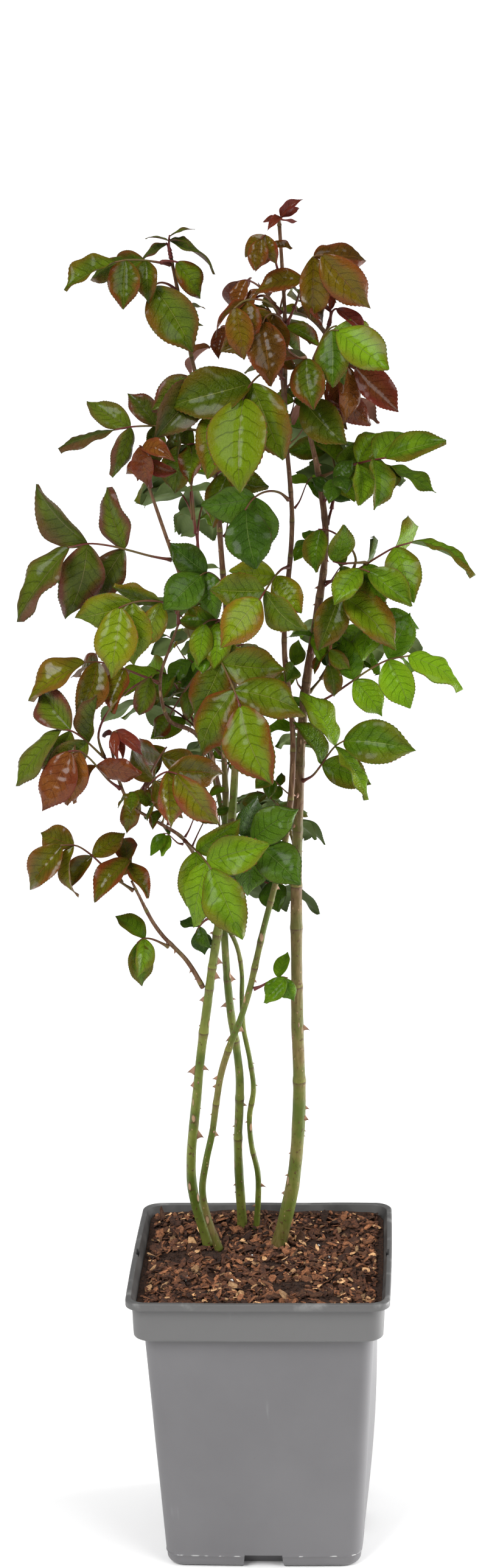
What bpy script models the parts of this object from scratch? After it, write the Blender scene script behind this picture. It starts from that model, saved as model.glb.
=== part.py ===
"""A climbing rose bush in its square nursery pot.

Five thorny canes rise from the potting mix, thin side shoots leave two of them, and compound
leaves grow from all of them. The pot, the mix, each cane, each side shoot and each spray of
leaves is one closed solid. Units are metres, +Z is up, the front is -Y, and the origin is the
centre of the pot's flat underside.
"""

import math
import random

import bmesh
import bpy
import numpy as np
from mathutils.bvhtree import BVHTree

GAP = 0.0003  # clearance between solids that meet
CREASE = 75.0  # faces that meet more sharply than this aren't shaded as one, in degrees
POT_CREASE = 35.0

POT_WIDTH = 0.2205  # over the rolled lip, at the corners
POT_HEIGHT = 0.256
POT_WALL = 0.0022
POT_FLOOR = 0.016  # thickness of the base, which the drain notches are cut into
COLLAR_HEIGHT = 0.0375  # the wider band under the lip
COLLAR_WIDTH = 0.2090  # at the collar's lower edge
BODY_TOP_WIDTH = 0.1925
BODY_FOOT_WIDTH = 0.1660
LIP_HEIGHT = 0.007
LIP_OVERHANG = 0.005
CORNER_RADIUS = 0.014
FOOT_ROUND = 0.007
SIDE_BOW = 0.0008  # how far the middle of each side stands out at lip and foot
BODY_BULGE = 0.0050  # how much further it stands out halfway up the body
NOTCH_WIDTH = 0.0345
NOTCH_HEIGHT = 0.013
NOTCH_DEPTH = 0.012
NOTCH_SLOPE = 0.10  # how far each flank leans in for each metre of height

MIX_TOP = 0.243  # height of the potting mix round the canes
MIX_DROP = 0.004  # how much lower it lies at the wall
MIX_PLATEAU = 0.075  # half width of the level middle

CANE_SIDES = 7
SHOOT_SIDES = 5
SHOOT_RINGS = 9
TWIG_SIDES = 3
RING_STEP = 0.030  # distance between the rings of a cane
FLARE = 0.40  # how much wider a cane is at the mix
FLARE_LENGTH = 0.012

STALK_RADIUS = 0.0011  # a leaf stalk where it leaves its limb
STALK_TIP_RADIUS = 0.0007
STALK_POINTS = 6
BLADE_ROOT = 0.00025  # half the width of a blade's root, which is sunk in the stalk
BLADE_FREE = 0.12  # the share of a blade, from its root, that may touch its own spray
BLADE_STATIONS = (0.32, 0.70)  # along the blade, between its root and its tip
BLADE_WIDTHS = (0.28, 0.20)  # half widths there, as shares of the length
BLADE_KEEL = 0.032  # depth of the midrib under the edges, as a share of the length
BLADE_CURL = 0.14  # fall of the tip, as a share of the length
ROLLS = (0.20, 0.50)  # how far end blades and paired blades roll about their midrib, as a rule
PAIR_ANGLE = 64.0  # between the stalk and the blades of a pair, in degrees
PAIR_PLACES = {0: (), 1: (0.72,), 2: (0.80, 0.46), 3: (0.82, 0.56, 0.30)}  # along the stalk
PAIR_SIZES = (0.86, 0.72, 0.58)  # blade lengths from the last pair back, against the end blade
CLEARANCE = 0.0005  # room kept round every stalk and blade
FAN = 42.0  # between one grown leaf of a spray and the next, in degrees
CROWN_AXIS = (0.0, 0.03)  # x and y of the line that the blades turn their faces away from

COLOURS = {
    "pot": ((0.20, 0.21, 0.205), 0.55),
    "mix": ((0.060, 0.038, 0.024), 0.95),
    "cane": ((0.115, 0.150, 0.050), 0.60),
    "green": ((0.060, 0.170, 0.022), 0.38),
    "dark": ((0.030, 0.100, 0.022), 0.38),
    "lime": ((0.140, 0.230, 0.025), 0.38),
    "bronze": ((0.170, 0.090, 0.025), 0.35),
    "red": ((0.150, 0.030, 0.028), 0.38),
}

# Way points (x, y, z) of each cane, from its foot in the mix to its tip, then the radius at both.
CANES = {
    "cane_left": (
        [(-0.049, 0.044, 0), (-0.061, 0.040, 0.293), (-0.055, 0.030, 0.387), (-0.041, 0.018, 0.490),
         (-0.020, 0.000, 0.623), (-0.013, -0.004, 0.718), (-0.021, -0.004, 0.856),
         (-0.029, 0.000, 0.965), (-0.041, 0.000, 1.019), (-0.056, -0.008, 1.105)],
        0.0042, 0.0012),
    "cane_middle": (
        [(-0.039, 0.032, 0), (-0.052, 0.028, 0.295), (-0.042, 0.020, 0.356), (-0.031, 0.010, 0.420),
         (-0.010, -0.002, 0.480), (0.005, -0.010, 0.542), (0.029, -0.012, 0.642),
         (0.034, -0.008, 0.714), (0.028, -0.002, 0.788), (0.036, 0.000, 0.894),
         (0.032, -0.002, 0.969), (0.033, -0.004, 1.057), (0.030, -0.006, 1.129)],
        0.0029, 0.0014),
    "cane_back": (
        [(-0.021, 0.078, 0), (-0.023, 0.070, 0.321), (-0.020, 0.062, 0.397), (-0.026, 0.054, 0.455),
         (-0.029, 0.034, 0.560), (-0.024, 0.018, 0.671), (-0.033, -0.002, 0.785),
         (-0.057, -0.018, 0.859), (-0.078, -0.030, 0.930)],
        0.0038, 0.0012),
    "cane_thin": (
        [(-0.009, 0.075, 0), (-0.006, 0.071, 0.295), (-0.013, 0.067, 0.344), (-0.008, 0.062, 0.381),
         (-0.016, 0.063, 0.439), (-0.017, 0.045, 0.509), (-0.036, 0.016, 0.566),
         (-0.058, -0.022, 0.632), (-0.101, -0.046, 0.672), (-0.111, -0.056, 0.718)],
        0.0024, 0.0011),
    "cane_main": (
        [(0.012, 0.040, 0), (0.025, 0.038, 0.299), (0.032, 0.035, 0.368), (0.032, 0.030, 0.463),
         (0.035, 0.022, 0.617), (0.046, 0.012, 0.760), (0.054, 0.008, 0.807), (0.063, 0.002, 0.879),
         (0.055, 0.000, 0.946), (0.047, -0.006, 0.994), (0.068, -0.014, 1.051)],
        0.0057, 0.0013),
}

# Side shoots: the cane, how far along it, way points after the start, radius at foot and tip.
SHOOTS = {
    "shoot_left": (
        "cane_back", 0.60,
        [(-0.042, 0.004, 0.712), (-0.066, -0.014, 0.729), (-0.073, -0.022, 0.757),
         (-0.056, -0.030, 0.814)],
        0.0020, 0.0009),
    "shoot_low_left": (
        "cane_left", 0.285,
        [(-0.056, 0.012, 0.509), (-0.082, -0.006, 0.548), (-0.101, -0.022, 0.595)],
        0.0021, 0.0010),
    "shoot_back": (
        "cane_back", 0.56,
        [(-0.040, 0.070, 0.680), (-0.050, 0.095, 0.740), (-0.048, 0.110, 0.830)],
        0.0022, 0.0010),
}


def leaf(turn, rise, reach, end_turn, end_rise, blade, pairs=2, droop=0.4, faces=0.6, arch=0.1,
         end_faces=None):
    """One compound leaf.

    Its tip lies `reach` from where it starts, `turn` degrees round from +X and `rise` degrees
    up. The end blade is `blade` long and heads `end_turn` round and `end_rise` up. `droop`
    bends the paired blades down, `faces` turns the blades outwards instead of up, `end_faces`
    the end blade where it differs, and `arch` lifts the stalk, each from 0 to 1.
    """
    return dict(turn=turn, rise=rise, reach=reach, end=(end_turn, end_rise), blade=blade,
                pairs=pairs, droop=droop, faces=faces, arch=arch,
                end_faces=faces if end_faces is None else end_faces)


def spray(limb, at, tint, *leaves, grown=0):
    """A spray leaves `limb` at the share `at` of its length with its first leaf.

    The others branch from that leaf's stalk, and `grown` more are dealt round it by seed.
    """
    return dict(limb=limb, at=at, tint=tint, leaves=leaves, grown=grown)


SPRAYS = {
    "spray_crown_tip": spray(
        "cane_middle", 1.0, "red",
        leaf(-46, 51, 0.031, -31, 49, 0.021, 2, 0.1, 0.5, 0.1)),
    "spray_top_left": spray(
        "cane_middle", 0.95, "red",
        leaf(-116, 19, 0.053, -114, -57, 0.027, 2, 0.8, 0.6, 0.5)),
    "spray_high_left": spray(
        "cane_left", 1.0, "green",
        leaf(-36, 57, 0.037, -24, 34, 0.022, 1, 0.2, 0.5, 0.0),
        leaf(-2, 2, 0.041, -1, -15, 0.042, 0, 0.2, 0.1, 0.0),
        leaf(163, -8, 0.031, 167, -21, 0.029, 0, 0.2, 0.5, 0.0)),
    "spray_far_high_left": spray(
        "cane_left", 0.995, "green",
        leaf(-153, -6, 0.095, -159, -19, 0.046, 2, 0.7, 0.5, 0.1),
        leaf(2, -37, 0.044, 2, -50, 0.035, 0, 0.3, 0.5, 0.1)),
    "spray_high_left_hanging": spray(
        "cane_left", 0.972, "green",
        leaf(-83, -40, 0.065, -51, -51, 0.059, 0, 0.3, 0.8, 0.3)),
    "spray_left_shoulder": spray(
        "cane_left", 0.842, "green",
        leaf(-157, -1, 0.129, -162, -12, 0.049, 3, 0.35, 0.8, 0.1, 0.0)),
    "spray_left_drooping": spray(
        "cane_left", 0.872, "bronze",
        leaf(-117, -9, 0.068, -131, -28, 0.054, 1, 0.5, 0.6, 0.3)),
    "spray_hung_left": spray(
        "cane_back", 0.995, "bronze",
        leaf(-93, 12, 0.031, -74, -69, 0.032, 2, 1, 0.8, 0.3)),
    "spray_left_dark": spray(
        "cane_left", 0.82, "dark",
        leaf(-137, -16, 0.060, -138, -43, 0.042, 1, 0.3, 0.6, 0.2)),
    "spray_high_right": spray(
        "cane_middle", 0.917, "bronze",
        leaf(-35, 12, 0.082, -26, -47, 0.055, 2, 0.8, 0.7, 0.3),
        leaf(30, -28, 0.041, 21, -26, 0.035, 0, 0.3, 0.5, 0.2)),
    "spray_puckered": spray(
        "cane_middle", 0.917, "bronze",
        leaf(-100, -20, 0.082, -86, -41, 0.051, 2, 1, 0.8, 0.3),
        leaf(-115, -16, 0.069, -74, -56, 0.040, 1, 1, 0.8, 0.2)),
    "spray_left_red": spray(
        "cane_middle", 0.925, "red",
        leaf(156, -3, 0.058, 155, -58, 0.032, 2, 0.8, 0.5, 0.3),
        leaf(153, -30, 0.105, 159, -27, 0.031, 1, 0.4, 0.5, 0.1)),
    "spray_right_bud": spray(
        "cane_main", 1.0, "red",
        leaf(-54, 75, 0.030, -44, 76, 0.015, 1, 0.0, 0.5, 0.0),
        leaf(-27, -6, 0.035, -20, -31, 0.030, 0, 0.3, 0.6, 0.3)),
    "spray_right_front": spray(
        "cane_main", 0.967, "green",
        leaf(-40, -2, 0.078, -30, -31, 0.054, 2, 0.8, 0.6, 0.3),
        leaf(-18, -8, 0.058, -7, -38, 0.050, 0, 0.2, 0.0, 0.1)),
    "spray_right_drooping": spray(
        "cane_main", 0.932, "bronze",
        leaf(-17, -9, 0.082, -15, -44, 0.050, 2, 0.8, 0.6, 0.2),
        leaf(43, -25, 0.079, 29, -24, 0.053, 1, 0.3, 0.3, 0.2)),
    "spray_right_inner": spray(
        "cane_main", 0.912, "green",
        leaf(-54, -14, 0.059, -39, -30, 0.052, 0, 0.4, 0.6, 0.2),
        leaf(-84, 9, 0.051, -82, -62, 0.043, 0, 0.4, 0.8, 0.3)),
    "spray_centre_big": spray(
        "cane_middle", 0.87, "green",
        leaf(-109, -34, 0.124, -92, -52, 0.076, 1, 0.45, 0.85, 0.3)),
    "spray_right_middle": spray(
        "cane_main", 0.847, "green",
        leaf(-22, 19, 0.115, -17, 20, 0.051, 3, 0.2, 0.6, 0.1, 0.4)),
    "spray_far_left": spray(
        "cane_back", 0.907, "green",
        leaf(-159, -13, 0.145, -160, -43, 0.072, 2, 0.35, 0.9, 0.1, 0.35)),
    "spray_left_lime": spray(
        "shoot_left", 1.0, "lime",
        leaf(-131, -20, 0.084, -107, -64, 0.056, 2, 0.8, 0.8, 0.1),
        leaf(-10, 30, 0.029, -13, 36, 0.013, 1, 0.2, 0.5, 0.0)),
    "spray_left_small": spray(
        "shoot_left", 0.707, "bronze",
        leaf(-171, -1, 0.113, -174, -24, 0.055, 2, 0.8, 0.5, 0.1)),
    "spray_centre_left": spray(
        "cane_left", 0.704, "dark",
        leaf(-129, -5, 0.072, -134, -25, 0.044, 1, 0.1, 0.7, 0.3)),
    "spray_centre_upper": spray(
        "cane_left", 0.805, "dark",
        leaf(-96, -53, 0.048, -126, -59, 0.043, 1, 0.6, 0.7, 0.2),
        leaf(-100, 15, 0.071, -122, -41, 0.060, 0, 0.4, 0.8, 0.1)),
    "spray_centre_round": spray(
        "cane_middle", 0.764, "dark",
        leaf(-112, -29, 0.086, -77, -53, 0.051, 1, 0.7, 0.9, 0.3)),
    "spray_centre_pair": spray(
        "cane_middle", 0.704, "lime",
        leaf(-118, -22, 0.110, -124, -29, 0.052, 2, 0.15, 0.8, 0.1)),
    "spray_centre_inner": spray(
        "cane_left", 0.667, "green",
        leaf(-104, -27, 0.053, -95, -48, 0.039, 1, 0.6, 0.7, 0.1),
        leaf(-122, -32, 0.049, -113, -64, 0.034, 0, 0.4, 0.8, 0.1)),
    "spray_front_centre": spray(
        "cane_back", 0.802, "lime",
        leaf(-64, -38, 0.149, -62, -49, 0.069, 2, 0.3, 0.85, 0.1),
        leaf(165, -57, 0.097, 158, -53, 0.027, 1, 0.5, 0.6, 0.1)),
    "spray_far_right": spray(
        "cane_main", 0.744, "green",
        leaf(-15, 12, 0.136, -10, -9, 0.056, 2, 0.5, 0.5, 0.05, 0.0),
        leaf(-42, -5, 0.082, -23, -28, 0.044, 1, 0.5, 0.5, 0.1),
        leaf(-135, 10, 0.045, -108, -63, 0.035, 0, 0.4, 0.8, 0.2),
        leaf(-116, 50, 0.048, -49, 59, 0.036, 0, 0.2, 0.8, 0.0)),
    "spray_right_under": spray(
        "cane_main", 0.719, "lime",
        leaf(-46, -5, 0.090, -39, -24, 0.056, 2, 0.7, 0.5, 0.2),
        leaf(-76, -72, 0.076, -80, -68, 0.026, 2, 0.3, 0.8, 0.1)),
    "spray_right_lower": spray(
        "cane_main", 0.617, "lime",
        leaf(-26, 16, 0.154, -20, -12, 0.050, 2, 0.3, 0.75, 0.1, 0.1)),
    "spray_right_low": spray(
        "cane_main", 0.541, "green",
        leaf(-37, 21, 0.122, -28, 0, 0.059, 2, 0.15, 0.8, 0.05)),
    "spray_red_sprout": spray(
        "cane_thin", 1.0, "red",
        leaf(-26, 3, 0.032, -20, -28, 0.028, 2, 0.8, 0.6, 0.4)),
    "spray_low_far_left": spray(
        "cane_thin", 0.975, "green",
        leaf(-170, -1, 0.092, -172, -34, 0.058, 2, 0.3, 0.7, 0.2, 0.5),
        leaf(-11, 51, 0.048, -137, -63, 0.032, 0, 0.3, 0.8, 0.2)),
    "spray_glossy_left": spray(
        "cane_thin", 0.935, "bronze",
        leaf(-141, -3, 0.082, -141, -54, 0.053, 2, 0.9, 0.8, 0.2)),
    "spray_big_bronze": spray(
        "cane_thin", 0.902, "bronze",
        leaf(-39, -2, 0.089, -39, -46, 0.052, 2, 0.8, 0.8, 0.2),
        leaf(93, 3, 0.049, 134, -43, 0.046, 1, 0.5, 0.6, 0.2),
        leaf(135, -53, 0.056, -141, -60, 0.032, 0, 0.4, 0.8, 0.1)),
    "spray_low_centre": spray(
        "cane_thin", 0.794, "green",
        leaf(-55, -37, 0.105, -55, -50, 0.063, 2, 0.15, 0.9, 0.05)),
    "spray_centre_low": spray(
        "cane_left", 0.466, "dark",
        leaf(-44, -14, 0.088, -36, -26, 0.052, 2, 0.2, 0.9, 0.1)),
    "spray_low_left": spray(
        "shoot_low_left", 0.925, "bronze",
        leaf(-161, 7, 0.095, -163, -47, 0.046, 3, 0.7, 0.7, 0.2),
        leaf(-131, -60, 0.020, -167, -68, 0.042, 1, 0.5, 0.6, 0.2)),
    "spray_low_twig": spray(
        "shoot_low_left", 0.421, "green",
        leaf(-122, -36, 0.046, -63, -66, 0.037, 1, 0.2, 0.7, 0.3)),
    "spray_low_inner": spray(
        "cane_left", 0.381, "dark",
        leaf(175, -70, 0.038, 3, -72, 0.024, 1, 0.0, 0.7, 0.1)),
    "spray_low_right": spray(
        "cane_middle", 0.313, "green",
        leaf(-21, -37, 0.020, -173, -52, 0.028, 1, 0.2, 0.7, 0.1)),
    "spray_back_low": spray(
        "cane_thin", 0.6, "dark",
        leaf(80, 8, 0.105, 80, -25, 0.044, 2, 0.4, 0.5, 0.2), grown=3),
    "spray_back_left": spray(
        "cane_back", 0.66, "green",
        leaf(155, 10, 0.125, 160, -20, 0.048, 2, 0.4, 0.5, 0.2), grown=3),
    "spray_back_left_high": spray(
        "shoot_back", 1.0, "green",
        leaf(125, 30, 0.100, 130, -15, 0.048, 2, 0.4, 0.5, 0.2), grown=3),
    "spray_back_centre": spray(
        "shoot_back", 0.5, "lime",
        leaf(55, 0, 0.095, 55, -30, 0.044, 2, 0.4, 0.5, 0.2), grown=2),
    "spray_back_right": spray(
        "cane_main", 0.63, "lime",
        leaf(40, 10, 0.130, 45, -20, 0.050, 2, 0.4, 0.5, 0.2), grown=3),
    "spray_back_right_low": spray(
        "cane_main", 0.47, "green",
        leaf(118, 5, 0.105, 122, -25, 0.046, 2, 0.4, 0.5, 0.2), grown=2),
    "spray_back_right_high": spray(
        "cane_main", 0.8, "green",
        leaf(70, 20, 0.115, 70, -20, 0.048, 2, 0.4, 0.5, 0.2), grown=3),
    "spray_back_top": spray(
        "cane_middle", 0.84, "bronze",
        leaf(100, 25, 0.110, 100, -20, 0.042, 2, 0.5, 0.5, 0.2), grown=3),
}


# ---------------------------------------------------------------- small vector helpers


def unit(v):
    return v / max(np.linalg.norm(v), 1e-9)


def across(v, axis):
    """The part of v at right angles to the unit vector axis."""
    return v - np.dot(v, axis) * axis


def smooth_path(points, count):
    """A cubic curve through the points, read at `count` even steps of its chord length."""
    points = np.array(points, float)
    knots = np.r_[0, np.cumsum(np.linalg.norm(np.diff(points, axis=0), axis=1))]
    slopes = np.gradient(points, knots, axis=0)
    t = np.linspace(0, knots[-1], count)
    k = np.clip(np.searchsorted(knots, t, side="right") - 1, 0, len(points) - 2)
    span = (knots[k + 1] - knots[k])[:, None]
    u = (t - knots[k])[:, None] / span
    return ((2 * u**3 - 3 * u**2 + 1) * points[k] + (u**3 - 2 * u**2 + u) * span * slopes[k]
            + (3 * u**2 - 2 * u**3) * points[k + 1] + (u**3 - u**2) * span * slopes[k + 1])


def tube(path, radii, sides, flat_foot=False):
    """Vertices and faces of a closed tube with flat ends, carried along the path."""
    tangents = np.gradient(path, axis=0)
    tangents /= np.linalg.norm(tangents, axis=1)[:, None]
    if flat_foot:
        tangents[0] = (0, 0, 1)
    angles = np.arange(sides) * 2 * math.pi / sides
    normal = unit(across(np.array((0.9, 0.1, 0.3)), tangents[0]))
    rings = []
    for centre, tangent, radius in zip(path, tangents, radii):
        normal = unit(across(normal, tangent))
        side = np.cross(tangent, normal)
        rings.append(centre + radius * (np.cos(angles)[:, None] * normal
                                        + np.sin(angles)[:, None] * side))
    return np.vstack(rings), ring_faces(len(rings), sides)


def ring_faces(rings, sides, pointed=False):
    """Faces that join the rings in a row, with a flat cap at each end or a point at the last."""
    faces = [tuple(reversed(range(sides)))]
    for r in range(rings - 1):
        for s in range(sides):
            a, b = r * sides + s, r * sides + (s + 1) % sides
            faces.append((a, b, b + sides, a + sides))
    last = (rings - 1) * sides
    if pointed:
        faces += [(last + s, last + (s + 1) % sides, last + sides) for s in range(sides)]
    else:
        faces.append(tuple(range(last, last + sides)))
    return faces


def make_object(name, vertices, faces, colour, crease=CREASE):
    mesh = bpy.data.meshes.new(name)
    mesh.from_pydata([tuple(v) for v in vertices], [], faces)
    mesh.shade_smooth()
    mesh.set_sharp_from_angle(angle=math.radians(crease))
    obj = bpy.data.objects.new(name, mesh)
    bpy.context.scene.collection.objects.link(obj)
    mesh.materials.append(material(colour))
    return obj


def material(colour):
    found = bpy.data.materials.get(colour)
    if found:
        return found
    made = bpy.data.materials.new(colour)
    made.use_nodes = True
    shader = made.node_tree.nodes["Principled BSDF"]
    rgb, roughness = COLOURS[colour]
    shader.inputs["Base Color"].default_value = (*rgb, 1)
    shader.inputs["Roughness"].default_value = roughness
    shader.inputs["Metallic"].default_value = 0
    return made


# ---------------------------------------------------------------- pot and potting mix


def square_ring(height, half, corner, bow=SIDE_BOW, arc_steps=3, side_steps=4):
    """A square with round corners and bowed sides, anticlockwise, at one height."""
    ring = []
    for quarter in range(4):
        start = quarter * math.pi / 2
        centre = (half - corner) * math.sqrt(2)
        centre_x = centre * math.cos(start + math.pi / 4)
        centre_y = centre * math.sin(start + math.pi / 4)
        for step in range(arc_steps + 1):
            angle = start + step * math.pi / 2 / arc_steps
            ring.append((centre_x + corner * math.cos(angle), centre_y + corner * math.sin(angle),
                         height))
        out = np.array((math.cos(start + math.pi / 2), math.sin(start + math.pi / 2)))
        along = np.array((-out[1], out[0]))
        for step in range(1, side_steps):
            share = 2 * step / side_steps - 1
            point = out * (half + bow * (1 - share**2)) + along * (half - corner) * share
            ring.append((point[0], point[1], height))
    return ring


def body_row(height, inset=0.0, corner=CORNER_RADIUS):
    """Height, half width, corner radius and bow of the tapering body at a height."""
    share = height / (POT_HEIGHT - COLLAR_HEIGHT)
    half = (BODY_FOOT_WIDTH + share * (BODY_TOP_WIDTH - BODY_FOOT_WIDTH)) / 2
    return height, half - inset, corner, SIDE_BOW + BODY_BULGE * 4 * share * (1 - share)


def outer_profile():
    """Rows of the outer surface, from the underside up to the lip's top."""
    collar_foot = POT_HEIGHT - COLLAR_HEIGHT
    lip_foot = POT_HEIGHT - LIP_HEIGHT
    lip = POT_WIDTH / 2
    rows = []
    for step in range(4):
        angle = step * math.pi / 6
        inset = FOOT_ROUND * (1 - math.sin(angle))
        rows.append(body_row(FOOT_ROUND * (1 - math.cos(angle)), inset, CORNER_RADIUS - inset / 2))
    rows += [body_row(share * collar_foot) for share in (0.25, 0.5, 0.75)]
    rows += [
        body_row(collar_foot - 0.0015),
        (collar_foot, COLLAR_WIDTH / 2, CORNER_RADIUS, SIDE_BOW),
        (lip_foot, lip - LIP_OVERHANG, CORNER_RADIUS, SIDE_BOW),
        (lip_foot + 0.0008, lip, CORNER_RADIUS, SIDE_BOW),
        (POT_HEIGHT - 0.0015, lip, CORNER_RADIUS, SIDE_BOW),
        (POT_HEIGHT, lip - 0.0015, CORNER_RADIUS, SIDE_BOW),
    ]
    return rows


def inner_profile(clear=0.0):
    """Rows of the inner surface, from the lip down to the floor, moved inwards by `clear`.

    It has no bulge, so that the mix that fills it stays clear of it all over.
    """
    collar_foot = POT_HEIGHT - COLLAR_HEIGHT
    lip_inside = POT_WIDTH / 2 - LIP_OVERHANG - POT_WALL - clear
    collar_inside = COLLAR_WIDTH / 2 - POT_WALL - clear
    rows = [
        (POT_HEIGHT, lip_inside + 0.001, CORNER_RADIUS, SIDE_BOW),
        (POT_HEIGHT - 0.001, lip_inside, CORNER_RADIUS, SIDE_BOW),
        (collar_foot + 0.001, collar_inside, CORNER_RADIUS, SIDE_BOW),
    ]
    for height in (collar_foot - 0.002, POT_FLOOR + clear):
        rows.append((*body_row(height, POT_WALL + clear)[:3], SIDE_BOW))
    return rows


def build_pot():
    rings = [square_ring(*row) for row in outer_profile() + inner_profile()]
    pot = make_object("pot", np.vstack(rings), ring_faces(len(rings), len(rings[0])), "pot",
                      POT_CREASE)
    for side in range(4):
        cut = pot.modifiers.new("drain notch", "BOOLEAN")
        cut.operation = "DIFFERENCE"
        cut.solver = "EXACT"
        cut.object = notch_cutter(side * math.pi / 2)
    return pot


def notch_cutter(angle):
    """A block that narrows upwards, across the foot of one side."""
    inside = BODY_FOOT_WIDTH / 2 - NOTCH_DEPTH
    below = -0.005
    corners = []
    for x in (inside, POT_WIDTH / 2):
        for height in (below, NOTCH_HEIGHT):
            half = NOTCH_WIDTH / 2 - NOTCH_SLOPE * height
            corners += [(x, -half, height), (x, half, height)]
    turn = np.array(((math.cos(angle), -math.sin(angle), 0),
                     (math.sin(angle), math.cos(angle), 0), (0, 0, 1)))
    faces = [(0, 2, 3, 1), (4, 5, 7, 6), (0, 1, 5, 4), (2, 6, 7, 3), (0, 4, 6, 2), (1, 3, 7, 5)]
    cutter = make_object("notch_cutter", np.array(corners) @ turn.T, faces, "pot")
    cutter.hide_render = True
    cutter.display_type = "WIRE"
    return cutter


def build_mix():
    """The potting mix fills the pot and lies level round the canes, a little lower at the wall."""
    edge = MIX_TOP - MIX_DROP
    below = [row for row in reversed(inner_profile(1.5 * GAP)) if row[0] < edge]
    top_half = np.interp(edge, (below[-1][0], POT_HEIGHT), (below[-1][1], POT_WIDTH / 2
                                                           - LIP_OVERHANG - POT_WALL - 2 * GAP))
    rows = below + [(edge, float(top_half), CORNER_RADIUS, SIDE_BOW),
                    (MIX_TOP, MIX_PLATEAU, CORNER_RADIUS, SIDE_BOW)]
    rings = [square_ring(*row) for row in rows]
    return make_object("potting_mix", np.vstack(rings), ring_faces(len(rings), len(rings[0])),
                       "mix", POT_CREASE)


# ---------------------------------------------------------------- canes and side shoots


def limb_radius(limb, share):
    """Radius at a share of the limb's length: thick for long, then tapering to the tip."""
    foot, tip = limb["radii"]
    radius = tip + (foot - tip) * (1 - share**1.5)
    if limb["rooted"]:
        radius = radius * (1 + FLARE * np.exp(-share * limb["length"] / FLARE_LENGTH))
    return radius


def make_limb(path, radii, rooted):
    length = np.linalg.norm(np.diff(path, axis=0), axis=1).sum()
    return dict(path=path, radii=radii, rooted=rooted, length=length)


def point_on(limb, share):
    """Point, unit direction and radius at a share of the limb's length."""
    path = limb["path"]
    place = share * (len(path) - 1)
    k = min(int(place), len(path) - 2)
    point = path[k] + (place - k) * (path[k + 1] - path[k])
    return point, unit(path[k + 1] - path[k]), float(limb_radius(limb, share))


def seat(limb, share, target, radius):
    """Where a branch of this radius that makes for the target starts, a gap clear of the limb."""
    point, axis, limb_r = point_on(limb, share)
    if share >= 1:
        return point + axis * GAP
    out = unit(across(target - point, axis))
    way = unit(target - point - out * limb_r)
    tilt = math.sqrt(max(0.0, 1 - np.dot(way, out) ** 2))
    return point + out * (limb_r + GAP + radius * tilt)


def leaving(limb, share, target):
    """The way a branch leaves the limb: outwards, and already leaning to its target."""
    point, axis, limb_r = point_on(limb, share)
    if share >= 1:
        return axis
    return unit(unit(across(target - point, axis)) + 0.5 * unit(target - point))


def build_limbs():
    limbs = {}
    for name, (points, foot, tip) in CANES.items():
        points = [(x, y, z or MIX_TOP + GAP) for x, y, z in points]
        count = 2 + round(np.linalg.norm(np.diff(points, axis=0), axis=1).sum() / RING_STEP)
        limbs[name] = make_limb(smooth_path(points, count), (foot, tip), True)
    for name, (cane, at, points, foot, tip) in SHOOTS.items():
        start = seat(limbs[cane], at, np.array(points[0]), foot)
        path = smooth_path([start, *points], SHOOT_RINGS)
        path[0] = seat(limbs[cane], at, path[1], foot)
        limbs[name] = make_limb(path, (foot, tip), False)
    for name, limb in limbs.items():
        sides = CANE_SIDES if limb["rooted"] else SHOOT_SIDES
        shares = np.linspace(0, 1, len(limb["path"]))
        if limb["rooted"]:
            foot = limb["path"][0] + (limb["path"][1] - limb["path"][0]) * 0.4
            limb["path"] = np.vstack((limb["path"][:1], foot, limb["path"][1:]))
            shares = np.r_[0, shares[1] * 0.4, shares[1:]]
        limb["solid"] = tube(limb["path"], limb_radius(limb, shares), sides, limb["rooted"])
        make_object(name, *limb["solid"], "cane")
    return limbs


# ---------------------------------------------------------------- leaves


def bezier(a, b, c, d, count):
    t = np.linspace(0, 1, count)[:, None]
    return (1 - t) ** 3 * a + 3 * (1 - t) ** 2 * t * b + 3 * (1 - t) * t**2 * c + t**3 * d


def towards(turn, rise):
    turn, rise = math.radians(turn), math.radians(rise)
    return np.array((math.cos(turn) * math.cos(rise), math.sin(turn) * math.cos(rise),
                     math.sin(rise)))


def face_direction(point, faces):
    """The way the blades round a point turn their upper sides: up, and out from the crown."""
    out = np.array((1.6 * (point[0] - CROWN_AXIS[0]),
                    0.7 * math.tanh((point[1] - CROWN_AXIS[1]) / 0.02), 0))
    return unit(faces * out + (1 - faces) * np.array((0, 0, 1)))


def point_at(stalk, share):
    """Point and direction at a share of a stalk's points."""
    place = share * (len(stalk) - 1)
    k = min(int(place), len(stalk) - 2)
    return stalk[k] + (place - k) * (stalk[k + 1] - stalk[k]), unit(stalk[k + 1] - stalk[k])


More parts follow.
